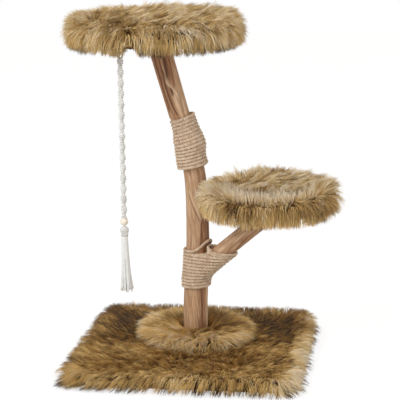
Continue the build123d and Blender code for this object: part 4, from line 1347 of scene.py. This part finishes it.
tone = tone + 0.14 * np.clip(-out[:, 1], 0, 1) * (s > 40)
# Painted shadow of the trunk: locks to the right and back of the trunk are darker.
tone = tone - 0.2 * np.clip(0.8 * out[:, 0] + 0.6 * out[:, 1], 0, 1)
tone = tone + 0.1 * wander(spots, 70, collar_seed + 6)[member]
# Painted shadow of the trunk: a darker patch close to the trunk on its right.
tone = tone - 0.25 * hill(face, -0.5, 0.35) * hill(s, 25, 22)
legs = combed(s, 1.0, collar_comb, collar_comb)
grow("plinth_fur", member, roots, heading, *legs, tone, 0.55, collar_seed + 4)

# %% [markdown]
# ## Boards, bead and metal
# The rigid solids have the right shape already, so they only get finishes: birch plywood with long
# grain, turned beech for the bead and dowels, bright zinc on screws, staples and rings, and a black
# powder coat with a fine grain on the two flanges.

# %% Finishes of the rigid pieces
def woody(name, colours, grain_mm, roughness):
    """Wood with its grain along X: noise drawn out along the board, in three tones."""
    material, tree, shader = finish(name, roughness)
    stops = list(zip((0.3, 0.5, 0.7), colours))
    grain, tint = mottled(tree, 1000 / grain_mm, 5.0, stops, distortion=0.4, stretch=(0.08, 1, 1))
    dress(tree, shader, tint, grain, 0.25, 0.2)
    return material


plywood = woody("birch plywood", ("#B58E5E", "#D2AE7C", "#E4C798"), 14.0, 0.6)
beech = woody("turned beech", ("#DDCDB2", "#EDE2CF", "#F6EFE2"), 5.0, 0.5)

zinc, tree, shader = finish("bright zinc plate", 0.3, Metallic=1.0)
spangle, tint = mottled(tree, 350.0, 3.0, [(0.3, "#A9ABAE"), (0.7, "#D5D7D9")])
dress(tree, shader, tint)
rough = add(tree, "MapRange", {"Value": spangle, "To Min": 0.22, "To Max": 0.42})
tree.links.new(rough.outputs[0], shader.inputs["Roughness"])

powder, tree, shader = finish("black powder coat", 0.45)
peel, tint = mottled(tree, 900.0, 2.0, [(0.3, "#161616"), (0.7, "#242424")])
dress(tree, shader, tint, peel, 0.3, 0.1)

finishes = {"plywood": plywood, "beech": beech, "steel": zinc, "black_steel": powder}
for subpart in frame["record"]["subparts"]:
    if subpart["material_slot"] in finishes:
        solid = frame["nodes"][subpart["node"]]
        solid.data.materials.clear()
        solid.data.materials.append(finishes[subpart["material_slot"]])
print("finished", len(finishes), "kinds of rigid piece")

# %% [markdown]
# ## Floor and light
# The object stands on a plain white floor in an even studio light: a pale sky all round, a large soft
# lamp at the upper left in front and a weaker one at the right. The lamps add up to about one, so a
# colour renders as it is written. Only rays from the camera, mirrors and glass see the pure white.

# %% Floor, sky and lamps
def seen(tree):
    """One where the camera, a mirror or glass looks straight at it."""
    path = add(tree, "LightPath")
    any_ray = path.outputs["Is Camera Ray"]
    for ray in ("Is Glossy Ray", "Is Transmission Ray"):
        any_ray = add(tree, "Math", {0: any_ray, 1: path.outputs[ray]}, operation="MAXIMUM").outputs[0]
    return any_ray


white = (1, 1, 1, 1)
floor_half, floor_z = 6, -0.0005
floor_material, tree, shader = finish("pale studio floor", 0.9, Base_Color=linear("#F3F2EF"))
glow = add(tree, "Emission", {"Color": white, "Strength": 1.16})
part = add(tree, "Math", {0: seen(tree), 1: 0.72}, operation="MULTIPLY")
mixed = add(tree, "MixShader", {0: part.outputs[0], 1: shader.outputs[0], 2: glow.outputs[0]})
tree.links.new(mixed.outputs[0], tree.nodes["Material Output"].inputs["Surface"])
floor_mesh = bpy.data.meshes.new("floor")
floor_corners = [(x * floor_half, y * floor_half, floor_z) for x, y in ((-1, -1), (1, -1), (1, 1), (-1, 1))]
floor_mesh.from_pydata(floor_corners, [], [(0, 1, 2, 3)])
floor_mesh.materials.append(floor_material)
floor = bpy.data.objects.new("floor", floor_mesh)
bpy.context.scene.collection.objects.link(floor)

sky = bpy.data.worlds.new("studio")
bpy.context.scene.world = sky
sky.use_nodes = True
tree = sky.node_tree
soft = tree.nodes["Background"]
soft.inputs["Color"].default_value = white
soft.inputs["Strength"].default_value = 0.6
plain = add(tree, "Background", {"Color": white, "Strength": 1.0})
mixed = add(tree, "MixShader", {0: seen(tree), 1: soft.outputs[0], 2: plain.outputs[0]})
tree.links.new(mixed.outputs[0], tree.nodes["World Output"].inputs["Surface"])

lamps = (("key", (-1.6, -2.2, 2.6), 1.8, 60.0), ("fill", (2.4, -1.6, 1.5), 1.6, 14.0))
for name, spot, size, power in lamps:
    lamp = bpy.data.lights.new(name, "AREA")
    lamp.size, lamp.energy = size, power
    lamp_object = bpy.data.objects.new(name, lamp)
    aim = unit(np.array([0.0, 0.0, 0.38]) - np.array(spot))
    across = unit(np.cross(aim, [0, 0, 1.0]))
    lamp_object.matrix_world = pose(across, np.cross(across, aim), -aim, spot)
    bpy.context.scene.collection.objects.link(lamp_object)
bpy.context.scene.view_settings.view_transform = "Standard"
print("stage ready")
